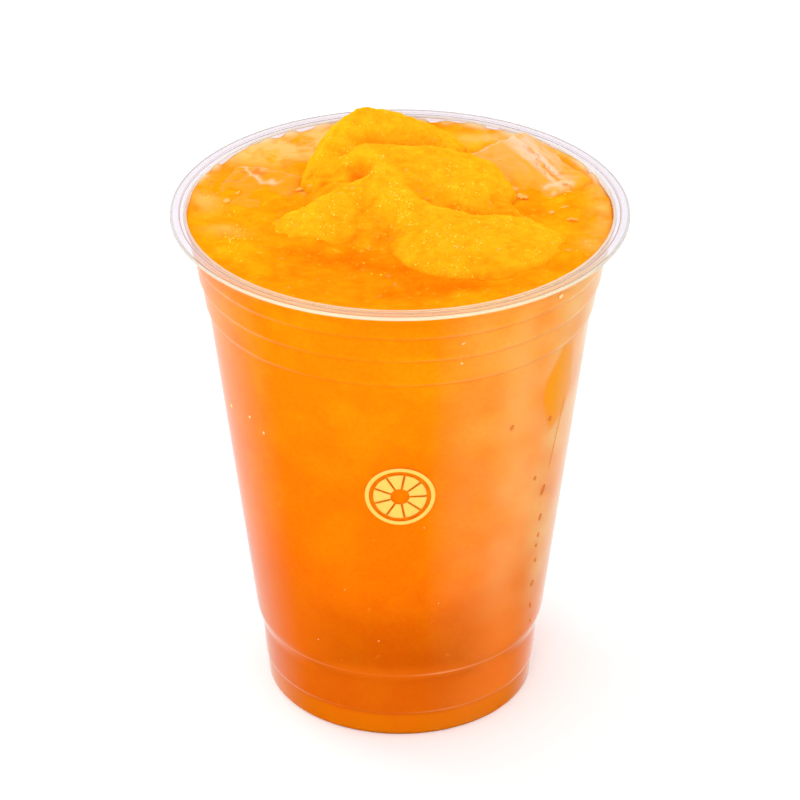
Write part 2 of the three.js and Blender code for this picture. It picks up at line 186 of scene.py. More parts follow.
# Azimuths in degrees from the front: the middle of the light lines' shine, where the mist begins, where it
# thickens and where it ends
SHINE_MIDDLE = 20
MIST_START = 9
MIST_THICKENS = 44
MIST_END = 150

# A pane of the wall on the right that stays free of mist: azimuth in degrees and height
CLEAR_PANE = ((57.5, 94.5), (62.5, 93), (66.5, 81), (63, 76), (55.5, 73.8), (50, 83), (50.5, 87.5))

# The slush heap's lobes: how square the crest is, then stations of x, y, crest height over the drink,
# half width to the left of the way on, and half width to the right
LOBES = {
    "body": (0.55, ((-13.5, 8, 2.6, 7.5, 9), (-2, 11, 7.2, 13, 14), (9, 5, 5.4, 13, 12))),
    "apron": (
        0.55, ((-10, 0, 4.6, 7, 7), (-6.5, -6, 3.6, 7, 7), (-4, -11, 2.4, 6, 6), (-1.5, -15, 1.5, 4, 4)),
    ),
    "right apron": (0.6, ((14, 6, 4.4, 7, 7), (19, 2, 3, 6, 6), (23.5, -1, 1.6, 5, 5))),
    "shoulder": (0.5, ((-17, 14, 3.4, 4.5, 5), (-12.5, 16.5, 6, 6, 5), (-8, 16, 7.6, 5, 5))),
    "back": (
        0.55,
        (
            (-19.5, 13, 1.6, 3.4, 3.5), (-16, 21, 6.8, 4.2, 6.5), (-10.5, 28, 11.1, 6.2, 8.5),
            (-4.8, 30.2, 11.7, 7.5, 8.5), (2.5, 30.8, 8.6, 6.5, 7.5), (9, 31, 5.4, 5, 6),
        ),
    ),
    "middle": (
        0.42, ((-7, 17.5, 9, 6.5, 5), (2, 16.8, 9, 6.5, 13), (9.5, 15, 8.7, 7, 13), (15.5, 13, 8, 7, 12)),
    ),
    "centre": (0.6, ((-3.2, 8.2, 9, 5.2, 6), (-1, -1.5, 8.4, 7, 6.5), (3, -9, 6.6, 8, 5.5))),
    "left": (
        0.5,
        ((-26, -5, 1.6, 2.5, 5), (-19, -1.5, 3.8, 3, 12), (-12, 3, 5.6, 3.2, 14.5), (-4.5, 8, 7.9, 3.6, 9)),
    ),
    "front": (
        0.5,
        (
            (3, -6, 7.2, 7, 6), (8.5, -10, 7, 7.5, 10), (14.5, -12, 6.6, 8, 17.5),
            (20.5, -12, 5.9, 8.6, 15.5), (23.2, -11.2, 5.3, 8.8, 11),
        ),
    ),
}
STATION_STEPS = 20
LOBE_BLEND = 1.1
SIDE_BLEND = 6.0
CREVICE = (-8.3, 10.9)
CREVICE_REACH = 2.6
CREVICE_DEPTH = 4.4
SLUSH_SETTLE = 0.8
SLUSH_DRAFT = 4.0

# The ice cubes: depth, width, height, turn and radius of their place, top, lean out and lean along
ICE = {
    "ice_cube_back_right": (20.0, 27.0, 19.0, 37.0, 34.5, 115.1, -4.0, 4.0),
    "ice_cube_back_left": (17.0, 18.5, 18.0, 158.0, 33.6, 114.5, -1.5, -6.0),
}
ICE_ROUND = 2.4
ICE_INSET = 1.6
# The frosted band on the ice: x, y, its crosswise direction, reach
FROST_LINE = (30.2, 24.0, 0.884, 0.467, 3.2)
# Where the drink colours the ice: x, y, reach across, reach along, share
ICE_WASH = (
    (31.8, 30, 2.5, 2.5, 0.3), (38, 17, 4, 6, 0.6), (40.5, 12, 4, 5, 0.9), (26, 14, 3.5, 4, 0.8),
    (-37, 20.5, 3, 2.5, 0.6), (-30, 18, 2.5, 2, 0.5), (-27, 19, 3, 3, 0.4),
)
# Pale edges within the ice, and brown flaws in it: x and y of both ends, half width, share
PALE_LINES = (
    (-36.3, 22.1, -34.8, 21.6, 0.35, 0.9), (-34.8, 21.6, -32.2, 21.6, 0.35, 1),
    (-32.2, 21.6, -30, 20.1, 0.4, 1), (-30, 20.1, -28.6, 17.7, 0.35, 0.4),
    (-34.8, 21.1, -32.5, 18.2, 0.45, 0.8), (-32.5, 18.2, -29.8, 14.8, 0.6, 0.9),
    (-29.6, 14, -27.2, 13.4, 0.9, 0.7), (-41, 19.6, -40.3, 21.4, 0.6, 0.7),
    (25.6, 28.1, 28.3, 23.2, 0.6, 0.8), (28.3, 23.2, 33, 14.5, 0.35, 0.8), (29.4, 26.6, 34, 19, 0.4, 0.4),
    (31.7, 12.4, 36.6, 12.8, 0.9, 0.8),
)
BROWN_LINES = (
    (-36.8, 22.8, -34.9, 21.9, 0.35, 1), (-38.1, 17.9, -37.6, 17.4, 0.3, 0.8),
    (-36.1, 14.6, -35.4, 14, 0.35, 0.7), (-34.4, 18.5, -33.9, 18, 0.3, 0.8),
    (-37.8, 15, -37.3, 14.6, 0.3, 0.6), (-30.8, 18.7, -29.6, 17.4, 1.1, 0.7),
    (29.2, 24.7, 30.6, 21.7, 0.22, 0.8), (31, 21.4, 33.9, 16.4, 0.22, 0.8),
    (29, 21.6, 31.6, 16.6, 0.18, 0.5), (27.2, 28.8, 29.2, 25, 0.18, 0.5), (32.3, 21, 34.6, 16.8, 0.18, 0.6),
    (35.3, 12.4, 35.9, 11.4, 0.35, 0.8), (37.4, 10, 38, 9, 0.4, 0.9),
)

NOISE_WAVES = 30

# How the meshes are cut: how far under its level the tea's surface ends, steps round the tea, half the width
# of the heap's grid, the lowest height of the heap that is kept, and cuts along the ice's edges
SURFACE_DEPTH = 1.2
TEA_STEPS = 256
HEAP_GRID = 41.0
HEAP_LOWEST = -0.6
ICE_CUTS = 56

# The printed wheel: height of its middle, radii of the ring and of a wedge, how many wedges, the middle of
# a wedge and how much it is drawn in, thickness of the ink and the gap to the wall
MOTIF_HEIGHT = 66.5
MOTIF_RING = (6.6, 7.5)
MOTIF_WEDGE = (1.6, 6.0)
WEDGES = 9
WEDGE_MIDDLE = 4.2
WEDGE_SHRINK = 0.84
INK = 0.05
INK_GAP = 0.03

# The stage, in metres: the point that the camera circles, and the lamps' place, size and power
ORBIT_HEIGHT = 0.0576
LAMP_AIM = 0.08
LAMPS = (
    ("key", (-0.3, 0.2, 0.8), 0.3, 1.2),
    ("front", (-0.25, -1.0, 0.6), 0.3, 1.6),
    ("low_front", (0.1, -1.1, 0.2), 0.5, 1.6),
)

# Colours of marks and patches, as red, green and blue of 0 to 255
# In the tea, glow is painted light over the lower side and the shoulder
TEA_PAINTS = {
    "bits": (255, 178, 60), "glow": (250, 130, 18), "pane": (255, 174, 10), "foot": (230, 130, 2),
    # edge is a painted shade along the surface's front edge by the wall
    "light_line": (255, 196, 136), "edge": (200, 106, 14), "fringe": (255, 226, 190), "glint": (255, 200, 60),
}
SLUSH_PAINTS = {"combed": (255, 142, 10), "glint": (255, 214, 60)}
# Colours of the loose ice grains, the paler one a painted glint
GRAIN_AND_GLINT_COLOURS = ((255, 196, 12), (255, 240, 96))
ICE_PAINTS = {
    # On the ice, edge is a painted highlight
    "cracks": (226, 120, 50), "specks": (206, 112, 20), "edge": (255, 226, 196), "wash": (255, 172, 26),
    "wetted": (255, 162, 16), "pale": (255, 208, 164), "brown": (208, 118, 44),
}
# Body and frost of each ice cube
ICE_COLOURS = (((252, 175, 74), (255, 206, 172)), ((254, 160, 16), (255, 184, 84)))
LIGHT_IN_ICE = (255, 220, 160)
FLAKE_COLOUR = (255, 184, 74)
# The pale drops' colour is a painted highlight
DROP_COLOURS = {"orange_drop": (214, 122, 48), "pale_drop_glint": (255, 205, 140)}


def srgb(red, green, blue):
    """A colour of 0 to 255 as Blender's linear values."""
    def linear(value):
        share = value / 255
        return share / 12.92 if share <= 0.04045 else ((share + 0.055) / 1.055) ** 2.4
    return (linear(red), linear(green), linear(blue))


def opaque(colour):
    return (*colour, 1.0)


# Settings

def colour_setting(name, description, *paint):
    """A colour that can be changed; its default is given as red, green and blue of 0 to 255."""
    return bpy.props.FloatVectorProperty(
        name=name, description=description, subtype="COLOR", default=srgb(*paint))


class CupSettings(bpy.types.PropertyGroup):
    """The clear cup"""
    round_steps: bpy.props.IntProperty(
        name="Round Steps", description="Faces round the cup", default=224, min=24)
    roughness: bpy.props.FloatProperty(
        name="Roughness", description="How much the plastic blurs what it shows", default=0.04, min=0, max=1)
    tint: colour_setting("Tint", "Colour of the clear wall", 254, 253, 254)
    rim_tint: colour_setting("Rim Tint", "Colour of the thicker rim", 230, 224, 230)
    # The rim's fine lines are painted shade and its edges painted highlight
    inner_shade_line: colour_setting("Inner Line", "Colour of the fine line inside the rim", 208, 176, 172)
    outer_shade_line: colour_setting("Outer Line", "Colour of the fine line by the rim's edge", 194, 186, 186)
    edge_highlight_tint: colour_setting("Edge Tint", "Colour of the rim's edges", 228, 223, 216)
    print_colour: colour_setting("Print", "Colour of the printed motif", 250, 189, 84)


class DrinkSettings(bpy.types.PropertyGroup):
    """The tea and its surface"""
    surface_ring: bpy.props.FloatProperty(
        name="Surface Step", description="Distance between the rings of the surface", unit="LENGTH",
        default=0.5 * MM)
    upper: colour_setting("Upper", "Colour of the tea under the surface", 255, 161, 6)
    middle: colour_setting("Middle", "Colour of the tea half way down", 255, 141, 3)
    bottom: colour_setting("Bottom", "Colour of the tea at the base", 210, 104, 1)
    mist: colour_setting("Mist", "Colour that the misted wall adds", 255, 212, 140)
    surface: colour_setting("Surface", "Colour of the tea's surface", 255, 154, 10)
    # The deep orange of the hollows is partly painted shade
    deep: colour_setting("Deep", "Colour of the surface's hollows", 255, 120, 4)
    light: colour_setting("Light", "Colour of the surface's yellow swells", 255, 184, 18)
    # The pale film is partly painted reflection
    pale: colour_setting("Pale Film", "Colour of the thin film near the wall", 252, 190, 106)


class SlushSettings(bpy.types.PropertyGroup):
    """The heap of slush"""
    mesh_step: bpy.props.FloatProperty(
        name="Mesh Step", description="Distance between the heap's points", unit="LENGTH", default=0.26 * MM)
    # The crests' yellow is partly painted highlight and the creases' deep orange partly painted shade
    ridge: colour_setting("Ridge", "Colour of the crests", 255, 184, 26)
    face: colour_setting("Face", "Colour of the heap's sides", 255, 162, 17)
    hollow: colour_setting("Hollow", "Colour of the creases", 255, 122, 6)
    crystals: bpy.props.IntProperty(
        name="Crystals", description="Number of loose ice grains besides the clusters", default=30, min=0)


class StageSettings(bpy.types.PropertyGroup):
    """Camera, lights and floor"""
    distance: bpy.props.FloatProperty(
        name="Distance", description="From the camera to the cup's middle", unit="LENGTH", default=0.9)
    elevation: bpy.props.FloatProperty(
        name="Elevation", description="How far the camera looks down", subtype="ANGLE",
        default=math.radians(30.217))
    lens: bpy.props.FloatProperty(
        name="Lens", description="Focal length in millimetres", default=184.33)
    aim_height: bpy.props.FloatProperty(
        name="Aim Height", description="Height of the picture's middle", unit="LENGTH", default=0.0684)
    floor: bpy.props.FloatVectorProperty(
        name="Floor", description="Colour of the floor", subtype="COLOR", default=(0.955, 0.963, 0.978))


# Mesh helpers

def rounded(corners, steps=5):
    """An outline through corners of radius, height and fillet, each corner bent softly."""
    points = []
    for i, (r, z, fillet) in enumerate(corners):
        here = Vector((r, z))
        if fillet == 0 or i in (0, len(corners) - 1):
            points.append(tuple(here))
            continue
        before = (Vector(corners[i - 1][:2]) - here).normalized() * fillet
        after = (Vector(corners[i + 1][:2]) - here).normalized() * fillet
        for t in np.linspace(0, 1, steps + 1):
            points.append(tuple(here + before * (1 - t) ** 2 + after * t ** 2))
    return points


def offset(path, distance):
    """The path moved sideways, to the left of the way along it when positive."""
    points = [Vector(p) for p in path]
    normals = []
    for a, b in zip(points, points[1:]):
        along = (b - a).normalized()
        normals.append(Vector((-along.y, along.x)))
    moved = []
    for i, point in enumerate(points):
        before = normals[max(i - 1, 0)]
        after = normals[min(i, len(normals) - 1)]
        mitre = (before + after).normalized()
        moved.append(tuple(point + mitre * (distance / mitre.dot(after))))
    return moved


def resampled(path, step):
    """The path with points no further apart than step."""
    points = [path[0]]
    for a, b in zip(path, path[1:]):
        count = max(1, math.ceil(math.dist(a, b) / step))
        points += [tuple(Vector(a).lerp(Vector(b), i / count)) for i in range(1, count + 1)]
    return points


def turn_outline(bm, outline, steps):
    """Turns an outline of radius and height about the upright axis."""
    verts = [bm.verts.new((r, 0, z)) for r, z in outline]
    edges = [bm.edges.new(pair) for pair in zip(verts, verts[1:])]
    bmesh.ops.spin(
        bm, geom=verts + edges, cent=(0, 0, 0), axis=(0, 0, 1), dvec=(0, 0, 0), angle=math.tau,
        steps=steps, space=Matrix.Identity(4), use_merge=True, use_normal_flip=False, use_duplicate=False)
    bmesh.ops.remove_doubles(bm, verts=bm.verts, dist=1e-5)
    bmesh.ops.recalc_face_normals(bm, faces=bm.faces)


def points_of(bm):
    return np.array([v.co[:] for v in bm.verts])


def move_points(bm, places):
    for vert, place in zip(bm.verts, places):
        vert.co = place


def add_mask(bm, name, values):
    """Stores one number for each vertex, for a material to read."""
    layer = bm.verts.layers.float.new(name)
    for vert, value in zip(bm.verts, values):
        vert[layer] = value


def placed(name, data):
    """A new object of the scene."""
    made = bpy.data.objects.new(name, data)
    bpy.context.scene.collection.objects.link(made)
    return made


def finished(bm, name, materials, nodes=()):
    """Makes the bmesh, drawn in millimetres, a smooth piece that rides on the cup's body."""
    mesh = bpy.data.meshes.new(name)
    bm.to_mesh(mesh)
    bm.free()
    mesh.transform(Matrix.Scale(MM, 4))
    mesh.shade_smooth()
    for material in materials:
        mesh.materials.append(material)
    piece = placed(name, mesh)
    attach(piece, "root")
    if nodes:
        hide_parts(*nodes)
    return piece


# Shapes

def smooth_step(value):
    share = np.clip(value, 0, 1)
    return share * share * (3 - 2 * share)


def side_radius(z):
    """Middle of the cup's wall at a height, with the ribs' soft steps and the flare under the rim."""
    ribs = sum(RIB_STEP * smooth_step((z - rib) / RIB_RISE + 0.5) for rib in RIBS)
    return SIDE_BASE + SIDE_TAPER * z + ribs + NECK_FLARE * smooth_step((z - NECK_HEIGHT) / NECK_RISE)


def cup_path():
    """The middle of the cup's wall, from the axis out along the base and up the side to the lip."""
    half = WALL / 2

    def foot_radius(z):
        return RING_OUTER + FOOT_TAPER * (z - half)
    shoulder_top = FOOT_TOP + SHOULDER_RISE
    path = rounded([
        (0, PUSH_UP_HEIGHT, 0),
        (PUSH_UP_RADIUS, PUSH_UP_HEIGHT, 1.1),
        (RING_INNER, half, 0.5),
        (RING_OUTER, half, 1.2),
        (foot_radius(FOOT_BEAD) - BEAD_STEP / 2, FOOT_BEAD, 0.3),
        (foot_radius(FOOT_BEAD) + BEAD_STEP / 2, FOOT_BEAD + 2 * BEAD_STEP, 0.3),
        (foot_radius(FOOT_TOP), FOOT_TOP, 0.9),
        (side_radius(shoulder_top), shoulder_top, 0.9),
        (side_radius(shoulder_top + 2), shoulder_top + 2, 0),
    ])
    first_rib = RIBS[0] - RIB_RISE
    path += [(side_radius(z), z) for z in np.arange(24.0, first_rib, 6.0)]
    path += [(side_radius(z), z) for z in np.arange(first_rib, LIP_FOOT, 0.2)]
    return path


def lip_outline(inside, outside):
    """The flat solid lip, from the wall's inner face over the top and back to its outer face."""
    under = CUP_HEIGHT - WALL
    foot = CUP_HEIGHT - LIP_HEIGHT
    return rounded([
        (*inside, 0),
        (inside[0] + LIP_LEAN, CUP_HEIGHT, 0.3),
        (RIM_RADIUS, CUP_HEIGHT, 0.38),
        (RIM_RADIUS, foot, 0.38),
        (LIP_END, foot, 0.1),
        (LIP_END, under, 0.1),
        (outside[0] + LIP_LEAN, under, 0.3),
        (*outside, 0),
    ])


def wall_radius(path, z):
    """Radius of an outline at a height, on the way up."""
    side = [p for p in path if p[0] > RING_OUTER]
    return np.interp(z, [p[1] for p in side], [p[0] for p in side])


def noise_of(points, size, seed):
    """Soft noise at each point, of mean 0 and deviation 1, with lumps of a size in millimetres."""
    draw = np.random.default_rng(seed)
    ways = draw.normal(size=(3, NOISE_WAVES))
    ways /= np.linalg.norm(ways, axis=0) * size * draw.uniform(0.7, 1.6, NOISE_WAVES)
    phases = draw.uniform(0, math.tau, NOISE_WAVES)
    return np.sin(math.tau * points @ ways + phases).sum(axis=1) * math.sqrt(2 / NOISE_WAVES)


def spots(x, y, table):
    """Soft round spots added up, each of x, y, reach across, reach along and share."""
    total = np.zeros_like(x)
    for cx, cy, across, along, share in table:
        total += share * np.exp(-((x - cx) / across) ** 2 - ((y - cy) / along) ** 2)
    return total


def lines(x, y, table):
    """Soft lines, each from one end to the other, of a half width and a share."""
    strongest = np.zeros_like(x)
    for ax, ay, bx, by, width, share in table:
        way = (bx - ax, by - ay)
        along = np.clip(((x - ax) * way[0] + (y - ay) * way[1]) / math.hypot(*way) ** 2, 0, 1)
        apart = np.hypot(x - ax - along * way[0], y - ay - along * way[1])
        strongest = np.maximum(strongest, share * np.exp(-(apart / width) ** 2))
    return strongest


def surface_relief(x, y):
    """Height of the drink's uneven surface over its level."""
    flat = np.c_[x, y, np.zeros_like(x)]
    waves = 0.28 * noise_of(flat, 14.0, 3) + 0.12 * noise_of(flat, 5.0, 5) + 0.05 * noise_of(flat, 2.0, 8)
    return spots(x, y, SWELLS) + waves


def inside_shape(x, y, corners, softness):
    """1 inside a convex outline that runs clockwise, falling softly to 0 outside it."""
    depth = np.full_like(x, 99.0)
    for (ax, ay), (bx, by) in zip(corners, corners[1:] + corners[:1]):
        length = math.hypot(bx - ax, by - ay)
        depth = np.minimum(depth, ((by - ay) * (x - ax) - (bx - ax) * (y - ay)) / length)
    return smooth_step(depth / softness + 0.5)


def along_lobe(stations):
    """Catmull-Rom points through a lobe's stations, all five numbers at once."""
    ends = np.array([stations[0], *stations, stations[-1]], float)
    points = []
    for a, b, c, d in zip(ends, ends[1:], ends[2:], ends[3:]):
        for t in np.arange(STATION_STEPS) / STATION_STEPS:
            curve = 2 * a - 5 * b + 4 * c - d
            twist = 3 * b - a - 3 * c + d
            points.append(0.5 * (2 * b + (c - a) * t + curve * t * t + twist * t ** 3))
    points.append(ends[-1])
    return np.array(points)


def lobe_height(squareness, stations, x, y):
    """Height of one lobe at each place: the tallest of the round bumps that stand along it."""
    points = along_lobe(stations)
    heading = np.gradient(points[:, :2], axis=0)
    heading /= np.linalg.norm(heading, axis=1)[:, None]
    height = np.full_like(x, -99.0)
    for (px, py, crest, left, right), (hx, hy) in zip(points, heading):
        side = hx * (y - py) - hy * (x - px)
        share = 0.5 + 0.5 * side / np.sqrt(side * side + SIDE_BLEND)
        width = left * share + right * (1 - share)
        reach = np.hypot(x - px, y - py) / width
        inside = crest * np.clip(1 - reach * reach, 0, 1) ** squareness
        height = np.maximum(height, np.where(reach < 1, inside, (1 - reach) * width))
    return height


def slush_height(x, y):
    """Height of the slush heap over the drink's level."""
    joined = None
    for squareness, stations in LOBES.values():
        lobe = lobe_height(squareness, stations, x, y)
        if joined is None:
            joined = lobe
        else:
            joined = 0.5 * (joined + lobe + np.hypot(joined - lobe, LOBE_BLEND))
    away = ((x - CREVICE[0]) ** 2 + (y - CREVICE[1]) ** 2) / CREVICE_REACH ** 2
    return joined - CREVICE_DEPTH * np.exp(-away) - SLUSH_SETTLE


# Node helpers

def node(tree, kind, inputs=None, **settings):
    """Adds a node, with its settings and with its inputs set or linked."""
    made = tree.nodes.new(kind)
    for name, value in settings.items():
        setattr(made, name, value)
    for name, value in (inputs or {}).items():
        if isinstance(value, bpy.types.NodeSocket):
            tree.links.new(value, made.inputs[name])
        else:
            made.inputs[name].default_value = value
    return made


def mixed(tree, factor, first, second, blend="MIX"):
    """Two colours mixed."""
    made = node(tree, "ShaderNodeMix", {0: factor, 6: first, 7: second}, data_type="RGBA", blend_type=blend)
    return made.outputs[2]


def spread(tree, value, low, high, to_low=0.0, to_high=1.0):
    """A value spread softly from one range to another."""
    made = node(
        tree, "ShaderNodeMapRange",
        {"Value": value, "From Min": low, "From Max": high, "To Min": to_low, "To Max": to_high},
        interpolation_type="SMOOTHSTEP")
    return made.outputs["Result"]


def worked_out(tree, operation, *values):
    """The result of a sum, a product or the like."""
    return node(tree, "ShaderNodeMath", dict(enumerate(values)), operation=operation).outputs[0]


def times(tree, first, second):
    """Two masks multiplied."""
    return worked_out(tree, "MULTIPLY", first, second)


def group(name, numbers, results):
    """A new shader node group that takes a vector and numbers: its tree, its inputs and its results."""
    tree = bpy.data.node_groups.new(name, "ShaderNodeTree")
    tree.interface.new_socket("Vector", in_out="INPUT", socket_type="NodeSocketVector")
    for label, default in numbers.items():
        socket = tree.interface.new_socket(label, in_out="INPUT", socket_type="NodeSocketFloat")
        socket.default_value = default
    for label in results:
        tree.interface.new_socket(label, in_out="OUTPUT", socket_type="NodeSocketFloat")
    return tree, tree.nodes.new("NodeGroupInput").outputs, tree.nodes.new("NodeGroupOutput").inputs


def cloud_group(name):
    """Soft cloudy patches of a size, as a mask."""
    tree, given, result = group(name, {"Scale": 100.0, "Low": 0.4, "High": 0.6, "Shift": 0.0}, ["Mask"])
    pattern = node(
        tree, "ShaderNodeTexNoise",
        {"Vector": given["Vector"], "Scale": given["Scale"], "W": given["Shift"], "Detail": 3.0,
         "Roughness": 0.55},
        noise_dimensions="4D")
    mask = spread(tree, pattern.outputs["Fac"], given["Low"], given["High"])
    tree.links.new(mask, result["Mask"])
    return tree


def grain_group(name):
    """Crushed fruit ice: the height of its grains, and a mask of the brightest ones."""
    tree, given, result = group(name, {"Scale": 900.0}, ["Height", "Glint"])
    place, scale = given["Vector"], given["Scale"]
    cells = node(tree, "ShaderNodeTexVoronoi", {"Vector": place, "Scale": scale}, feature="SMOOTH_F1")
    fine = node(tree, "ShaderNodeTexNoise", {"Vector": place, "Scale": scale, "Detail": 2.0}).outputs["Fac"]
    tree.links.new(worked_out(tree, "SUBTRACT", fine, cells.outputs["Distance"]), result["Height"])
    tree.links.new(spread(tree, fine, 0.62, 0.75), result["Glint"])
    return tree


def streak_group(name):
    """Fine lines that run one way, as a mask."""
    numbers = {"Turn": 0.0, "Along": 80.0, "Across": 600.0, "Low": 0.46, "High": 0.62}
    tree, given, result = group(name, numbers, ["Mask"])
    turned = node(
        tree, "ShaderNodeVectorRotate", {"Vector": given["Vector"], "Angle": given["Turn"]},
        rotation_type="Z_AXIS")
    across = given["Across"]
    stretch = node(tree, "ShaderNodeCombineXYZ", {"X": given["Along"], "Y": across, "Z": across})
    scaled = node(
        tree, "ShaderNodeVectorMath", {0: turned.outputs[0], 1: stretch.outputs[0]}, operation="MULTIPLY")
    pattern = node(tree, "ShaderNodeTexNoise", {"Vector": scaled.outputs[0], "Scale": 1.0, "Detail": 2.0})
    mask = spread(tree, pattern.outputs["Fac"], given["Low"], given["High"])
    tree.links.new(mask, result["Mask"])
    return tree


GROUPS = {"Cloudy Patches": cloud_group, "Crushed Ice Grain": grain_group, "Combed Streaks": streak_group}


def use_group(tree, name, **inputs):
    """Places one of the groups in a material, with its values; it is built the first time."""
    made = bpy.data.node_groups.get(name)
    if made is None:
        made = GROUPS[name](name)
    return node(tree, "ShaderNodeGroup", inputs, node_tree=made).outputs


def new_material(name):
    """A material with its Principled shader, and the object's own coordinates."""
    material = bpy.data.materials.new(name)
    material.use_nodes = True
    tree = material.node_tree
    shader = tree.nodes["Principled BSDF"]
    place = node(tree, "ShaderNodeTexCoord").outputs["Object"]
    return material, tree, shader, place


def set_values(shader, values):
    for name, value in values.items():
        shader.inputs[name].default_value = value


def mask_of(tree, name):
    return node(tree, "ShaderNodeAttribute", attribute_name=name).outputs["Fac"]


def clouds(tree, place, scale, low, high, shift=0.0):
    """The mask of the cloudy patches, with these values."""
    values = {"Vector": place, "Scale": scale, "Low": low, "High": high, "Shift": shift}
    return use_group(tree, "Cloudy Patches", **values)["Mask"]


def streaks(tree, place, turn, along, across, **ends):
    """The mask of the combed streaks, turned by degrees."""
    values = {"Vector": place, "Turn": math.radians(turn), "Along": along, "Across": across, **ends}
    return use_group(tree, "Combed Streaks", **values)["Mask"]


def shaded(tree, colour, mask, factors):
    """The colour, multiplied by red, green and blue factors where the mask is 0."""
    return mixed(tree, mask, mixed(tree, 1.0, colour, opaque(factors), "MULTIPLY"), colour)


def painted(tree, colour, paints, **masks):
    """The colour under named coats of paint, each as strong as its mask, or as the piece's own mask of that
    name where none is given."""
    for name, mask in masks.items():
        if mask is None:
            mask = mask_of(tree, name)
        colour = mixed(tree, mask, colour, opaque(srgb(*paints[name])))
    return colour


def raise_bumps(tree, shader, relief, strength, distance):
    """Shades the surface as if it had a relief."""
    bump = node(tree, "ShaderNodeBump", {"Height": relief, "Strength": strength, "Distance": distance})
    tree.links.new(bump.outputs["Normal"], shader.inputs["Normal"])


def show(tree, shader, colour, relief=None, strength=0.0):
    """Links the finished colour to the shader, and the height of fine grain if there is any."""
    tree.links.new(colour, shader.inputs["Base Color"])
    if relief is not None:
        raise_bumps(tree, shader, relief, strength, 0.3 * MM)


def speckled(tree, place, scale, first, second):
    """A colour that changes from one to another in small patches."""
    tone = node(tree, "ShaderNodeTexNoise", {"Vector": place, "Scale": scale}).outputs["Fac"]
    return mixed(tree, tone, opaque(first), opaque(second))


def let_light_in(shader, weight, radius, scale):
    """Light that enters the surface and leaves it near by."""
    set_values(shader, {
        "Subsurface Weight": weight, "Subsurface Radius": radius, "Subsurface Scale": scale})


def let_lamps_through(material, tint):
    """Clear plastic and ice let lamp light through to what they hold."""
    tree = material.node_tree
    shader = tree.nodes["Principled BSDF"]
    output = tree.nodes["Material Output"]
    clear = node(tree, "ShaderNodeBsdfTransparent", {"Color": opaque(tint)})
    path = node(tree, "ShaderNodeLightPath")
    mix = node(
        tree, "ShaderNodeMixShader",
        {0: path.outputs["Is Shadow Ray"], 1: shader.outputs["BSDF"], 2: clear.outputs["BSDF"]})
    tree.links.new(mix.outputs["Shader"], output.inputs["Surface"])


# Materials

def clear_plastic(name, tint, roughness, ior, clearness=1.0, front=None):
    """Thin clear plastic with slight waves; its tint may be multiplied by a warmer one at the front, painted
    light from the drink.
    """
    material, tree, shader, place = new_material(name)
    set_values(shader, {
        "Base Color": opaque(tint), "Roughness": roughness, "IOR": ior, "Transmission Weight": clearness})
    if front:
        depth = node(tree, "ShaderNodeSeparateXYZ", {0: place}).outputs["Y"]
        warm = tuple(min(1.0, share * factor) for share, factor in zip(tint, front))
        colour = mixed(tree, spread(tree, depth, -45 * MM, -12 * MM), opaque(warm), opaque(tint))
        show(tree, shader, colour)
    waves = node(tree, "ShaderNodeTexNoise", {"Vector": place, "Scale": 90.0, "Detail": 1.0})
    raise_bumps(tree, shader, waves.outputs["Fac"], 0.05, 0.6 * MM)
    let_lamps_through(material, tint)
    return material


def level_line(tree, height, centre, half):
    """A fine level line round the cup, as a mask."""
    apart = worked_out(tree, "ABSOLUTE", worked_out(tree, "SUBTRACT", height, centre * MM))
    return spread(tree, apart, 0.0, half * MM, 1.0, 0.0)


def tea_side_material(settings):
    """The cloudy drink seen through the wall: deeper towards the base, with patches, bits and mist, and with
    painted light low down and painted highlight lines.
    """
    material, tree, shader, place = new_material("tea_behind_wall")
    height = node(tree, "ShaderNodeSeparateXYZ", {0: place}).outputs["Z"]
    low_half = mixed(
        tree, spread(tree, height, 16 * MM, 56 * MM), opaque(settings.bottom), opaque(settings.middle))
    colour = mixed(tree, spread(tree, height, 55 * MM, 108 * MM), low_half, opaque(settings.upper))
    colour = shaded(tree, colour, clouds(tree, place, 75.0, 0.42, 0.62), (0.97, 0.87, 0.7))
    colour = shaded(tree, colour, clouds(tree, place, 1100.0, 0.36, 0.64, 11.0), (1.0, 0.9, 0.75))
    bits = times(tree, clouds(tree, place, 520.0, 0.66, 0.76, 3.0), 0.4)
    # Bits in the drink, then painted light where the glow mask is
    colour = painted(tree, colour, TEA_PAINTS, bits=bits, glow=None)
    smudge = spread(tree, clouds(tree, place, 60.0, 0.2, 0.7, 7.0), 0.0, 1.0, 0.75, 1.1)
    mist = times(tree, mask_of(tree, "mist"), smudge)
    colour = mixed(tree, mist, colour, opaque(settings.mist))
    foot = spread(tree, height, 4.8 * MM, 6.2 * MM, 0.6, 0.0)
    colour = painted(tree, colour, TEA_PAINTS, pane=None, foot=foot)
    shine = mask_of(tree, "shine")
    for centre, half, share in LIGHT_LINES:
        line = times(tree, level_line(tree, height, centre, half), times(tree, shine, share))
        colour = painted(tree, colour, TEA_PAINTS, light_line=line)
    show(tree, shader, colour)
    set_values(shader, {"Roughness": 0.5, "Specular IOR Level": 0.0})
    let_light_in(shader, 0.35, (1.0, 0.45, 0.1), 0.004)
    return material


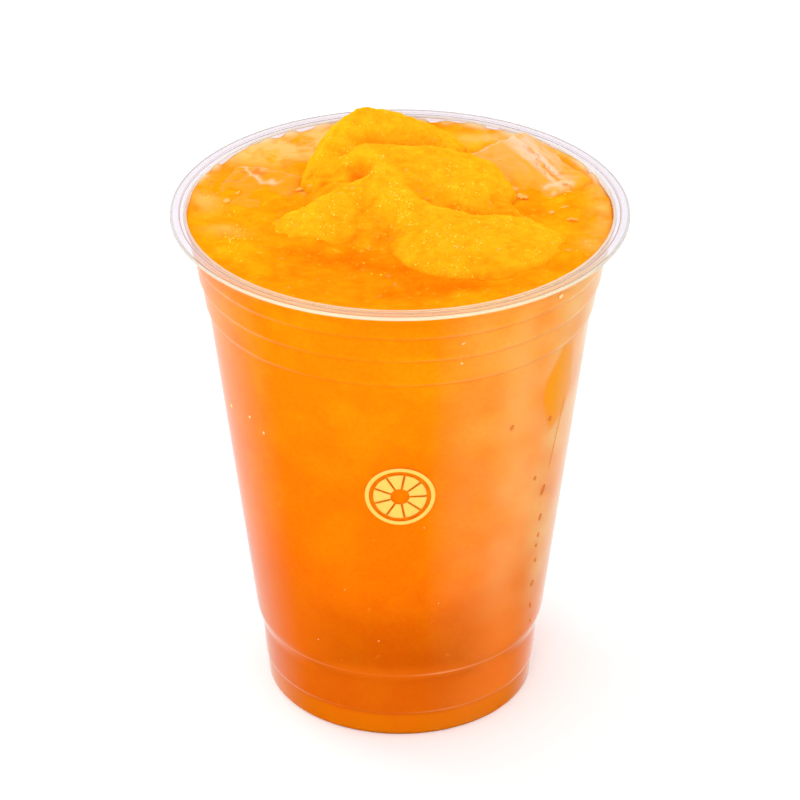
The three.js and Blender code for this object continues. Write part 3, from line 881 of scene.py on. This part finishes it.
def tea_surface_material(settings):
    """The drink's open surface: cloudy, wet in places, with a pale film near the wall that is partly painted
    reflection, and painted shade along its front edge.
    """
    material, tree, shader, place = new_material("tea_surface")
    # Deep orange in the hollows, partly painted shade
    colour = mixed(tree, mask_of(tree, "deep"), opaque(settings.surface), opaque(settings.deep))
    colour = mixed(tree, mask_of(tree, "light"), colour, opaque(settings.light))
    colour = shaded(tree, colour, clouds(tree, place, 330.0, 0.36, 0.66), (1.0, 0.88, 0.7))
    # The pale film, partly painted reflection
    film = times(tree, clouds(tree, place, 190.0, 0.3, 0.56, 5.0), mask_of(tree, "film"))
    colour = mixed(tree, film, colour, opaque(settings.pale))
    # Painted shade along the surface's front edge
    edge = times(tree, clouds(tree, place, 420.0, 0.3, 0.5, 9.0), mask_of(tree, "edge"))
    grain = use_group(tree, "Crushed Ice Grain", Vector=place, Scale=700.0)
    glint = times(tree, grain["Glint"], 0.3)
    colour = painted(tree, colour, TEA_PAINTS, edge=edge, fringe=None, glint=glint)
    show(tree, shader, colour, grain["Height"], 0.3)
    wet = clouds(tree, place, 600.0, 0.66, 0.7, 1.0)
    tree.links.new(times(tree, wet, 0.35), shader.inputs["Specular IOR Level"])
    set_values(shader, {"Roughness": 0.3})
    let_light_in(shader, 0.35, (1.0, 0.5, 0.1), 0.003)
    return material


def slush_material(settings):
    """Crushed tangerine ice: yellow crests of partly painted highlight, deep orange creases of partly painted
    shade, combed and grainy, with wet sparks.
    """
    material, tree, shader, place = new_material("tangerine_slush")
    colour = mixed(tree, mask_of(tree, "light"), opaque(settings.face), opaque(settings.ridge))
    colour = mixed(tree, mask_of(tree, "deep"), colour, opaque(settings.hollow))
    colour = shaded(tree, colour, clouds(tree, place, 380.0, 0.36, 0.66), (1.0, 0.9, 0.75))
    combed = streaks(tree, place, 17, 110.0, 620.0)
    grain = use_group(tree, "Crushed Ice Grain", Vector=place, Scale=900.0)
    glint = times(tree, grain["Glint"], 0.4)
    colour = painted(tree, colour, SLUSH_PAINTS, combed=times(tree, combed, 0.14), glint=glint)
    show(tree, shader, colour, worked_out(tree, "SUBTRACT", grain["Height"], combed), 0.4)
    wet = clouds(tree, place, 650.0, 0.66, 0.7, 4.0)
    tree.links.new(times(tree, wet, 0.7), shader.inputs["Specular IOR Level"])
    set_values(shader, {"Roughness": 0.25})
    let_light_in(shader, 0.5, (1.0, 0.55, 0.12), 0.003)
    return material


def crystal_material():
    """Single grains of ice, their paler colour a painted glint."""
    material, tree, shader, place = new_material("ice_grain")
    first, second = (srgb(*paint) for paint in GRAIN_AND_GLINT_COLOURS)
    show(tree, shader, speckled(tree, place, 400.0, first, second))
    set_values(shader, {"Roughness": 0.15, "Specular IOR Level": 0.2})
    return material


def ice_material(name, body, frost):
    """Ice wetted with the drink: cloudy, with frosted streaks, brown cracks and pale edges of painted
    highlight.
    """
    material, tree, shader, place = new_material(name)
    colour = shaded(tree, opaque(body), clouds(tree, place, 120.0, 0.4, 0.65, 2.0), (1.0, 0.94, 0.5))
    band = mask_of(tree, "frost")
    frosted = times(tree, streaks(tree, place, 62, 55.0, 480.0, Low=0.42, High=0.6), band)
    colour = mixed(tree, frosted, colour, opaque(frost))
    cracks = times(tree, streaks(tree, place, 62, 90.0, 900.0, Low=0.64, High=0.7), band)
    specks = clouds(tree, place, 520.0, 0.66, 0.72, 6.0)
    # Painted highlight along the edges
    edge = times(tree, clouds(tree, place, 260.0, 0.36, 0.56, 8.0), mask_of(tree, "edge"))
    colour = painted(
        tree, colour, ICE_PAINTS, cracks=times(tree, cracks, 0.7), specks=times(tree, specks, 0.6),
        edge=edge, wash=None, wetted=None, pale=None, brown=None)
    show(tree, shader, colour)
    set_values(shader, {
        "Roughness": 0.3, "IOR": 1.31, "Transmission Weight": 0.1, "Specular IOR Level": 0.1})
    let_light_in(shader, 0.4, (1.0, 0.6, 0.3), 0.004)
    let_lamps_through(material, srgb(*LIGHT_IN_ICE))
    return material


def speck_material(name, paint):
    """Small drops and flakes: one colour with slight unevenness."""
    material, tree, shader, place = new_material(name)
    colour = srgb(*paint)
    show(tree, shader, speckled(tree, place, 700.0, tuple(c * 0.8 for c in colour), colour))
    set_values(shader, {"Roughness": 0.2, "Specular IOR Level": 0.3})
    let_light_in(shader, 0.3, (1.0, 0.6, 0.3), 0.001)
    return material


def print_material(colour):
    """Opaque printing ink, with slight unevenness."""
    material, tree, shader, place = new_material("printed_motif")
    tone = clouds(tree, place, 900.0, 0.3, 0.7)
    show(tree, shader, mixed(tree, tone, opaque(tuple(c * 0.94 for c in colour)), opaque(colour)))
    set_values(shader, {"Roughness": 0.4, "Specular IOR Level": 0.2})
    return material


def floor_material(colour):
    """A plain pale floor that glows faintly, so that it stays as pale as the background."""
    material, tree, shader, place = new_material("studio_floor")
    show(tree, shader, speckled(tree, place, 6.0, tuple(c * 0.995 for c in colour), colour))
    set_values(shader, {
        "Roughness": 0.9, "Specular IOR Level": 0.0, "Emission Color": (0.93, 0.95, 1.0, 1.0),
        "Emission Strength": 0.13})
    return material


# Operators

class DRINK_OT_stage(bpy.types.Operator):
    """Adds the camera, the lights and the floor"""
    bl_idname = "drink.stage"
    bl_label = "Add Stage"

    def execute(self, context):
        look = context.scene.drink_stage
        self.add_camera(context, look)
        self.add_world(context)
        for lamp in LAMPS:
            self.add_lamp(*lamp)
        self.add_floor(look)
        context.scene.view_settings.view_transform = "Standard"
        return {"FINISHED"}

    def add_camera(self, context, look):
        """A camera that looks down at the cup's front."""
        data = bpy.data.cameras.new("camera")
        camera = placed("camera", data)
        centre = Vector((0, 0, ORBIT_HEIGHT))
        back = Vector((0, -math.cos(look.elevation), math.sin(look.elevation)))
        camera.location = centre + back * look.distance
        aim = Vector((0, 0, look.aim_height))
        camera.rotation_euler = (aim - camera.location).to_track_quat("-Z", "Y").to_euler()
        data.lens = look.lens
        data.clip_start = 0.01
        context.scene.camera = camera

    def add_world(self, context):
        """White to the camera, bright to rough surfaces, most so near the horizon, and in mirror views dark
        on the camera's side."""
        world = bpy.data.worlds.new("studio")
        world.use_nodes = True
        tree = world.node_tree
        tree.nodes.clear()
        direction = node(tree, "ShaderNodeTexCoord").outputs["Generated"]
        part = node(tree, "ShaderNodeSeparateXYZ", {0: direction}).outputs
        away = worked_out(tree, "MULTIPLY_ADD", part["Z"], 0.6, part["Y"])
        away = worked_out(tree, "MULTIPLY_ADD", part["X"], -0.2, away)
        mirrored = spread(tree, away, -0.3, 0.4, 0.03, 1.0)
        overcast = spread(tree, part["Z"], 0.0, 1.0, 1.6, 0.8)
        path = node(tree, "ShaderNodeLightPath").outputs
        level = node(
            tree, "ShaderNodeMix", {0: path["Diffuse Depth"], 2: mirrored, 3: overcast}, data_type="FLOAT")
        level = node(
            tree, "ShaderNodeMix", {0: path["Is Camera Ray"], 2: level.outputs[0], 3: 1.0}, data_type="FLOAT")
        background = node(
            tree, "ShaderNodeBackground", {"Color": (1.0, 1.0, 1.0, 1.0), "Strength": level.outputs[0]})
        node(tree, "ShaderNodeOutputWorld", {"Surface": background.outputs[0]})
        context.scene.world = world

    def add_lamp(self, name, place, size, power):
        """A square lamp that shines at the cup."""
        data = bpy.data.lights.new(name, "AREA")
        data.size = size
        data.energy = power
        lamp = placed(name, data)
        lamp.location = place
        way = Vector((0, 0, LAMP_AIM)) - lamp.location
        lamp.rotation_euler = way.to_track_quat("-Z", "Y").to_euler()

    def add_floor(self, look):
        """A wide floor that mirrors don't show."""
        bm = bmesh.new()
        bmesh.ops.create_grid(bm, x_segments=8, y_segments=8, size=3.0)
        mesh = bpy.data.meshes.new("floor")
        bm.to_mesh(mesh)
        bm.free()
        mesh.materials.append(floor_material(look.floor))
        floor = placed("floor", mesh)
        floor.visible_glossy = False


class DRINK_OT_cup(bpy.types.Operator):
    """Adds the clear cup"""
    bl_idname = "drink.cup"
    bl_label = "Add Cup"

    def execute(self, context):
        look = context.scene.drink_cup
        path = cup_path()
        outer, inner = offset(path, -WALL / 2), offset(path, WALL / 2)
        lip = lip_outline(inner[-1], outer[-1])
        outline = outer + resampled(lip[::-1], 0.12)[1:-1] + inner[::-1]
        bm = bmesh.new()
        turn_outline(bm, outline, look.round_steps)
        for face in bm.faces:
            face.material_index = self.part_of(face.calc_center_median())
        rough = look.roughness
        inner_shade_line, outer_shade_line = look.inner_shade_line, look.outer_shade_line
        materials = [
            clear_plastic("clear_cup_side", look.tint, rough, 1.36),
            clear_plastic("clear_cup_rim", look.rim_tint, rough, 1.4, 0.86, (1.2, 1.2, 0.84)),
            # The rim's fine lines are painted shade, and its edges painted highlight
            clear_plastic("clear_cup_rim_inner_shade_line", inner_shade_line, rough, 1.4, 0.85, (1.1, 1.0, 0.8)),
            clear_plastic("clear_cup_rim_outer_shade_line", outer_shade_line, rough, 1.4, 0.85, (1.0, 0.92, 0.66)),
            clear_plastic("clear_cup_rim_edge_highlight", look.edge_highlight_tint, 0.2, 1.3, 0.4, (1.15, 1.05, 0.8)),
        ]
        finished(bm, "clear_cup", materials, ["cup"])
        return {"FINISHED"}

    def part_of(self, centre):
        """Which of the cup's materials a face has: side, rim, the rim's two fine lines of painted shade or
        its edges of painted highlight.
        """
        radius = math.hypot(centre.x, centre.y)
        part = sum(radius > end for end in RIM_PARTS)
        if part == len(RIM_PARTS):
            return 4
        if centre.z < CUP_HEIGHT - WALL / 2:
            return 0 if part == 0 and centre.z < LEVEL else 1
        return (4, 1, 2, 1, 3)[part]


class DRINK_OT_motif(bpy.types.Operator):
    """Adds the printed citrus wheel on the cup's front"""
    bl_idname = "drink.motif"
    bl_label = "Add Printed Motif"

    def execute(self, context):
        bm = bmesh.new()
        self.add_sector(bm, MOTIF_RING, 0, math.tau, 72)
        for i in range(WEDGES):
            self.add_wedge(bm, i * math.tau / WEDGES, math.tau / WEDGES)
        bmesh.ops.solidify(bm, geom=bm.faces, thickness=INK)
        bmesh.ops.recalc_face_normals(bm, faces=bm.faces)
        self.wrap(bm)
        ink = print_material(context.scene.drink_cup.print_colour)
        finished(bm, "printed_citrus_wheel", [ink])
        return {"FINISHED"}

    def add_sector(self, bm, radii, start, sweep, steps):
        """A flat ring sector, from a radial line that is spun."""
        inner, outer = radii
        rings = 7
        direction = Vector((math.cos(start), math.sin(start), 0))
        verts = [bm.verts.new(direction * (inner + (outer - inner) * i / rings)) for i in range(rings + 1)]
        edges = [bm.edges.new(pair) for pair in zip(verts, verts[1:])]
        bmesh.ops.spin(
            bm, geom=verts + edges, cent=(0, 0, 0), axis=(0, 0, 1), dvec=(0, 0, 0), angle=sweep,
            steps=steps, space=Matrix.Identity(4), use_merge=sweep == math.tau, use_normal_flip=False,
            use_duplicate=False)

    def add_wedge(self, bm, start, sweep):
        """One segment of the wheel, drawn in from its neighbours."""
        before = set(bm.verts)
        self.add_sector(bm, MOTIF_WEDGE, start, sweep, 8)
        verts = [v for v in bm.verts if v not in before]
        middle = Vector((math.cos(start + sweep / 2), math.sin(start + sweep / 2), 0)) * WEDGE_MIDDLE
        shrink = (WEDGE_SHRINK, WEDGE_SHRINK, 1)
        bmesh.ops.scale(bm, vec=shrink, space=Matrix.Translation(-middle), verts=verts)

    def wrap(self, bm):
        """Bends the flat motif onto the wall's outer face."""
        for vert in bm.verts:
            x, y, lift = vert.co
            z = MOTIF_HEIGHT + y * math.cos(math.atan(SIDE_TAPER))
            radius = SIDE_BASE + SIDE_TAPER * z + WALL / 2 + INK_GAP + lift
            angle = x / radius
            vert.co = (radius * math.sin(angle), -radius * math.cos(angle), z)


class DRINK_OT_tea(bpy.types.Operator):
    """Adds the tea, up to its uneven surface"""
    bl_idname = "drink.tea"
    bl_label = "Add Tea"

    def execute(self, context):
        look = context.scene.drink_liquid
        full = offset(cup_path(), WALL / 2 - TEA_IN_WALL)
        top = next(i for i, p in enumerate(full) if p[1] > LEVEL - SURFACE_DEPTH)
        edge = wall_radius(full, LEVEL)
        rings = int(edge / (look.surface_ring / MM))
        surface = [(edge * (1 - i / rings), LEVEL) for i in range(rings + 1)]
        bm = bmesh.new()
        turn_outline(bm, resampled(full[:top], 0.9) + surface, TEA_STEPS)
        places = points_of(bm)
        flat = np.c_[places[:, :2], np.zeros(len(places))]
        to_wall = edge - np.hypot(places[:, 0], places[:, 1])
        behind = smooth_step(places[:, 1] / 12 - 0.6)
        ragged = smooth_step(0.6 + 0.45 * noise_of(flat, 5.0, 13))
        self.lay_surface(places, full, to_wall, behind * ragged)
        move_points(bm, places)
        self.add_side_masks(bm, places)
        self.add_surface_masks(bm, places, flat)
        x = places[:, 0]
        # A painted shade line along the surface's front edge, by the wall
        line = 0.85 * np.exp(-(to_wall / 0.5) ** 2)
        add_mask(bm, "edge", line * (1 - behind) * smooth_step((x + 42) / 30))
        add_mask(bm, "fringe", 0.8 * np.exp(-(to_wall / 0.6) ** 2) * behind * ragged)
        for face in bm.faces:
            on_top = face.calc_center_median().z > LEVEL - SURFACE_DEPTH and face.normal.z > 0.3
            face.material_index = int(on_top)
        finished(
            bm, "tangerine_tea", [tea_side_material(look), tea_surface_material(look)], ["tea"])
        return {"FINISHED"}

    def lay_surface(self, places, full, to_wall, clinging):
        """Lifts the open surface into its swells and up the wall, and fits its edge to the wall."""
        open_surface = places[:, 2] > LEVEL - 0.01
        relief = surface_relief(places[:, 0], places[:, 1])
        relief += 0.3 * np.exp(-to_wall / 1.0) + 0.9 * clinging * np.exp(-to_wall / 0.5)
        relief = np.clip(relief, -1.1, 1.15)
        places[open_surface, 2] += relief[open_surface]
        on_edge = open_surface & (to_wall < 0.01)
        fitted = np.array([wall_radius(full, z) for z in places[on_edge, 2]])
        radius = np.hypot(places[on_edge, 0], places[on_edge, 1])
        places[on_edge, :2] *= (fitted / radius)[:, None]

    def add_side_masks(self, bm, places):
        """What shows on the drink through the wall: mist, a glow of painted light low down, light lines of
        painted highlight and a clear pane.
        """
        x, y, z = places.T
        azimuth = np.degrees(np.arctan2(x, -y))
        aside = np.abs(azimuth)
        # The glow: painted light over the foot, the lower sides and the shoulder
        rightward = smooth_step((x + 10) / 20)
        foot = 0.25 + (0.2 + 0.4 * rightward) * smooth_step((aside - 15) / 40)
        foot *= smooth_step((FOOT_GLOW_TOP - z) / 6)
        sides = (0.6 + 0.25 * rightward) * smooth_step((aside - 18) / 30)
        sides *= smooth_step((SIDES_GLOW[1] - z) / 30) * smooth_step((z - SIDES_GLOW[0]) / 3)
        shoulder = 0.45 * np.exp(-((z - SHOULDER_GLOW) / 2.2) ** 2)
        add_mask(bm, "glow", np.maximum.reduce([foot, sides, shoulder]))
        shine = 0.06 + 0.6 * np.exp(-((azimuth - SHINE_MIDDLE) / 12) ** 2)
        shine += 0.45 * smooth_step((aside - 20) / 30)
        add_mask(bm, "shine", np.clip(shine, 0, 1))
        pane = inside_shape(azimuth, z, CLEAR_PANE, 2.6)
        add_mask(bm, "pane", 0.8 * pane)
        add_mask(bm, "mist", self.mist(places, azimuth) * (1 - 0.85 * pane))

    def add_surface_masks(self, bm, places, flat):
        """The pale film on the open surface, and its turns to deep orange and to yellow."""
        x, y = places[:, 0], places[:, 1]
        add_mask(bm, "film", np.clip(spots(x, y, PALE_FILM), 0, 1))
        tone = spots(x, y, SURFACE_TONES)
        for share, size, seed in ((0.09, 6.0, 41), (0.08, 2.4, 43), (0.06, 1.0, 47)):
            tone += share * noise_of(flat, size, seed)
        add_mask(bm, "deep", np.clip(-tone, 0, 1))
        add_mask(bm, "light", np.clip(tone, 0, 1))

    def mist(self, places, azimuth):
        """Where mist on the cup's right side makes the drink look paler."""
        z = places[:, 2]
        far = 0.36 * smooth_step((azimuth - MIST_THICKENS) / 20)
        far *= 0.55 + 0.45 * smooth_step((z - 50) / 25)
        band = 0.42 * np.clip((azimuth - MIST_START) / 36, 0, 1) + far
        band *= smooth_step((MIST_END - azimuth) / 62)
        uneven = 1 + 0.14 * noise_of(places * (1, 1, 0.25), 12.0, 17) + 0.1 * noise_of(places, 9.0, 19)
        lift = 8 * smooth_step((azimuth - 45) / 15) * smooth_step((z - 18) / 8)
        foot = 0.25 + 0.75 * smooth_step((z - 18 + lift) / 42)
        return np.clip(band * uneven * foot, 0, 1)


class DRINK_OT_slush(bpy.types.Operator):
    """Adds the heap of slush and its sparkling grains"""
    bl_idname = "drink.slush"
    bl_label = "Add Slush"

    def execute(self, context):
        look = context.scene.drink_slush
        count = int(2 * HEAP_GRID / (look.mesh_step / MM))
        bm = bmesh.new()
        bmesh.ops.create_grid(bm, x_segments=count, y_segments=count, size=HEAP_GRID)
        places = points_of(bm)
        x, y = places[:, 0], places[:, 1]
        height = slush_height(x, y)
        near = height > HEAP_LOWEST
        outside = [vert for vert, kept in zip(bm.verts, near) if not kept]
        bmesh.ops.delete(bm, geom=outside, context="VERTS")
        places = places[near]
        places[:, 2] = HEAP_FOOT + height[near]
        move_points(bm, places)
        bm.normal_update()
        normals = np.array([v.normal[:] for v in bm.verts])
        lumps = 0.13 * noise_of(places, 7.0, 1) + 0.09 * noise_of(places, 3.0, 4)
        lumps += 0.05 * noise_of(places, 1.2, 9)
        x, y = places[:, 0].copy(), places[:, 1].copy()
        beside = ((3, 0), (-3, 0), (0, 3), (0, -3))
        around = np.mean([slush_height(x + dx, y + dy) for dx, dy in beside], axis=0)
        bend = slush_height(x, y) - around
        places += normals * lumps[:, None]
        move_points(bm, places)
        # Crests painted lighter and creases darker by their bend: painted highlight and painted shade
        tone = 0.28 + 0.5 * spots(x, y, HEAP_TONES) + 0.3 * np.clip(bend, -1.5, 1)
        tone += 0.12 * noise_of(places, 5.0, 51) + 0.09 * noise_of(places, 2.0, 53)
        tone -= 0.4 * smooth_step((LEVEL + 1.6 - places[:, 2]) / 1.6)
        add_mask(bm, "light", np.clip(tone, 0, 1))
        add_mask(bm, "deep", np.clip(-tone * 1.2, 0, 1))
        self.close_below(bm)
        finished(bm, "slush_heap", [slush_material(look)], ["tangerine_slush"])
        self.add_crystals(look, places, normals, bend)
        self.add_flakes()
        return {"FINISHED"}

    def close_below(self, bm):
        """Draws the heap's hidden edge down into the drink and shuts it."""
        edges = [e for e in bm.edges if e.is_boundary]
        made = bmesh.ops.extrude_edge_only(bm, edges=edges)
        for part in made["geom"]:
            if isinstance(part, bmesh.types.BMVert):
                part.co.z = LEVEL - SLUSH_DRAFT
        rim = [part for part in made["geom"] if isinstance(part, bmesh.types.BMEdge) and part.is_boundary]
        bmesh.ops.holes_fill(bm, edges=rim, sides=0)
        bmesh.ops.recalc_face_normals(bm, faces=bm.faces)

    def add_crystals(self, look, places, normals, bend):
        """Scatters single grains of ice over the crests."""
        draw = random.Random(11)
        shown = np.flatnonzero((bend > 0.3) & (places[:, 2] > LEVEL + 0.5))
        picked = draw.choices(list(shown), k=look.crystals)
        for x, y, reach, count in SPARKLES:
            for _ in range(count):
                across, along = x + draw.gauss(0, reach), y + draw.gauss(0, reach * 1.6)
                picked.append(int(np.argmin(np.hypot(places[:, 0] - across, places[:, 1] - along))))
        seats = [places[index] + normals[index] * 0.05 for index in picked]
        for x, y, reach, count in AFLOAT:
            across = np.array([x + draw.gauss(0, reach) for _ in range(count)])
            along = np.array([y + draw.gauss(0, reach * 1.6) for _ in range(count)])
            seats += list(np.c_[across, along, LEVEL + surface_relief(across, along)])
        bm = bmesh.new()
        for seat in seats:
            size = draw.uniform(0.08, 0.26)
            turn = Vector((draw.gauss(0, 1), draw.gauss(0, 1), draw.gauss(0, 1))).normalized()
            spot = Matrix.Translation(seat)
            facing = Matrix.Rotation(draw.uniform(0, math.tau), 4, turn)
            stretch = Matrix.Diagonal((1.0, draw.uniform(0.6, 1.0), draw.uniform(0.5, 0.9), 1.0))
            bmesh.ops.create_icosphere(bm, subdivisions=1, radius=size, matrix=spot @ facing @ stretch)
        grains = finished(bm, "slush_ice_grains", [crystal_material()])
        grains.data.shade_flat()

    def add_flakes(self):
        """Soft flakes of ice afloat beside the heap."""
        bm = bmesh.new()
        for x, y, length, width, turn in FLAKES:
            spot = Matrix.Translation((x, y, LEVEL)) @ Matrix.Rotation(math.radians(turn), 4, "Z")
            size = Matrix.Diagonal((length / 2, width / 2, 0.4, 1.0))
            bmesh.ops.create_icosphere(bm, subdivisions=4, radius=1.0, matrix=spot @ size)
        places = points_of(bm)
        melt = 0.12 * noise_of(places, 1.8, 31) + 0.05 * noise_of(places, 0.8, 33)
        move_points(bm, places + melt[:, None] * (1, 1, 0.4))
        finished(bm, "floating_ice_flakes", [speck_material("pale_ice_flake", FLAKE_COLOUR)])


class DRINK_OT_drops(bpy.types.Operator):
    """Adds the small drops on the cup's wall, the pale ones coloured as painted highlights"""
    bl_idname = "drink.drops"
    bl_label = "Add Drops"

    def execute(self, context):
        bm = bmesh.new()
        self.add_drops(bm, ORANGE_DROPS)
        orange = len(bm.faces)
        self.add_drops(bm, PALE_DROP_GLINTS)
        for index, face in enumerate(bm.faces):
            face.material_index = int(index >= orange)
        looks = [speck_material(name, paint) for name, paint in DROP_COLOURS.items()]
        finished(bm, "wall_drops", looks)
        return {"FINISHED"}

    def add_drops(self, bm, table):
        """Small rounded drops that sit on the wall's outer face."""
        for azimuth, height, width, length, lean in table:
            place = (
                Matrix.Rotation(math.radians(azimuth), 4, "Z")
                @ Matrix.Translation((0, -side_radius(height) - WALL / 2, height))
                @ Matrix.Rotation(math.atan(SIDE_TAPER), 4, "X")
                @ Matrix.Rotation(math.radians(lean), 4, "Y"))
            size = Matrix.Diagonal((width / 2, min(width, 0.5) / 2, length / 2, 1.0))
            bmesh.ops.create_icosphere(bm, subdivisions=2, radius=1.0, matrix=place @ size)


class DRINK_OT_ice(bpy.types.Operator):
    """Adds the two melted ice cubes"""
    bl_idname = "drink.ice"
    bl_label = "Add Ice"

    def execute(self, context):
        looks = []
        for side, paints in zip(("right", "left"), ICE_COLOURS):
            looks.append(ice_material("wet_ice_" + side, *(srgb(*paint) for paint in paints)))
        for material, (name, numbers) in zip(looks, ICE.items()):
            bm = self.melted_block(*numbers)
            self.add_masks(bm)
            self.fit_in_cup(bm)
            bmesh.ops.recalc_face_normals(bm, faces=bm.faces)
            finished(bm, "melted_" + name, [material], [name])
        return {"FINISHED"}

    def melted_block(self, depth, width, height, turn, radius, top, lean, roll):
        """A rounded, slightly melted block in its place, with a mask of painted highlight along its edges."""
        bm = bmesh.new()
        bmesh.ops.create_cube(bm, size=1.0, matrix=Matrix.Diagonal((depth, width, height, 1.0)))
        bmesh.ops.bevel(
            bm, geom=list(bm.edges), offset=ICE_ROUND, segments=6, profile=0.5, affect="EDGES",
            material=-1)
        long_edges = [e for e in bm.edges if e.calc_length() > 3]
        bmesh.ops.subdivide_edges(bm, edges=long_edges, cuts=ICE_CUTS, use_grid_fill=True)
        bm.normal_update()
        places = points_of(bm)
        normals = np.array([v.normal[:] for v in bm.verts])
        beside = np.sort(np.abs(places) / (depth / 2, width / 2, height / 2), axis=1)[:, 1]
        wander = 0.03 * noise_of(places, 6.0, 25)
        # Painted highlight along the block's rounded edges
        pale_edge = smooth_step((beside + wander - 0.84) / 0.1) * smooth_step((1.0 - beside) / 0.04)
        add_mask(bm, "edge", 0.4 * pale_edge)
        melt = 0.22 * noise_of(places, 12.0, int(turn)) + 0.1 * noise_of(places, 3.0, 21)
        move_points(bm, places + normals * melt[:, None])
        place = (
            Matrix.Rotation(math.radians(turn), 4, "Z")
            @ Matrix.Translation((radius, 0, top - height / 2))
            @ Matrix.Rotation(math.radians(lean), 4, "Y")
            @ Matrix.Rotation(math.radians(roll), 4, "X"))
        bmesh.ops.transform(bm, matrix=place, verts=bm.verts)
        return bm

    def add_masks(self, bm):
        """Frost, the drink on the ice's shore and top, pale edges inside it and brown flaws."""
        places = points_of(bm)
        x, y, z = places.T
        line_x, line_y, cross_x, cross_y, reach = FROST_LINE
        side = (x - line_x) * cross_x + (y - line_y) * cross_y
        add_mask(bm, "frost", np.exp(-(side / reach) ** 2))
        shore = 0.2 * noise_of(places, 3.0, 27) + 0.12 * noise_of(places, 1.2, 28)
        add_mask(bm, "wetted", 0.85 * smooth_step((LEVEL + 0.8 - z + shore) / 0.9))
        wash = spots(x, y, ICE_WASH) * (0.9 + 0.15 * noise_of(places, 3.0, 35))
        add_mask(bm, "wash", np.clip(wash, 0, 1))
        wander = 0.35 * noise_of(places, 2.4, 29)
        add_mask(bm, "pale", lines(x + wander, y + wander, PALE_LINES))
        add_mask(bm, "brown", lines(x + wander, y + wander, BROWN_LINES))

    def fit_in_cup(self, bm):
        """Draws in what would reach into the wall."""
        places = points_of(bm)
        away = np.hypot(places[:, 0], places[:, 1])
        room = side_radius(places[:, 2]) - ICE_INSET
        places[:, :2] *= np.minimum(1, room / away)[:, None]
        move_points(bm, places)


class DRINK_PT_panel(bpy.types.Panel):
    """Lists the drink's pieces"""
    bl_idname = "DRINK_PT_panel"
    bl_label = "Iced Tangerine Tea"
    bl_space_type = "VIEW_3D"
    bl_region_type = "UI"
    bl_category = "Drinks"

    def draw(self, context):
        for operator in PIECES:
            self.layout.operator(operator.bl_idname)
        for name in SETTINGS:
            settings = getattr(context.scene, name)
            box = self.layout.box()
            for field in settings.bl_rna.properties:
                if field.identifier not in ("rna_type", "name"):
                    box.prop(settings, field.identifier)


PIECES = (
    DRINK_OT_stage, DRINK_OT_cup, DRINK_OT_motif, DRINK_OT_drops, DRINK_OT_tea, DRINK_OT_slush, DRINK_OT_ice)
SETTINGS = {
    "drink_cup": CupSettings, "drink_liquid": DrinkSettings, "drink_slush": SlushSettings,
    "drink_stage": StageSettings,
}


def register():
    for settings in SETTINGS.values():
        bpy.utils.register_class(settings)
    for operator in PIECES:
        bpy.utils.register_class(operator)
    bpy.utils.register_class(DRINK_PT_panel)
    for name, settings in SETTINGS.items():
        setattr(bpy.types.Scene, name, bpy.props.PointerProperty(type=settings))


def unregister():
    for name in SETTINGS:
        delattr(bpy.types.Scene, name)
    bpy.utils.unregister_class(DRINK_PT_panel)
    for operator in reversed(PIECES):
        bpy.utils.unregister_class(operator)
    for settings in SETTINGS.values():
        bpy.utils.unregister_class(settings)


def main():
    """Builds the whole drink."""
    register()
    bpy.ops.drink.stage()
    bpy.ops.drink.cup()
    bpy.ops.drink.motif()
    bpy.ops.drink.drops()
    bpy.ops.drink.tea()
    bpy.ops.drink.slush()
    bpy.ops.drink.ice()


if __name__ == "__main__":
    main()
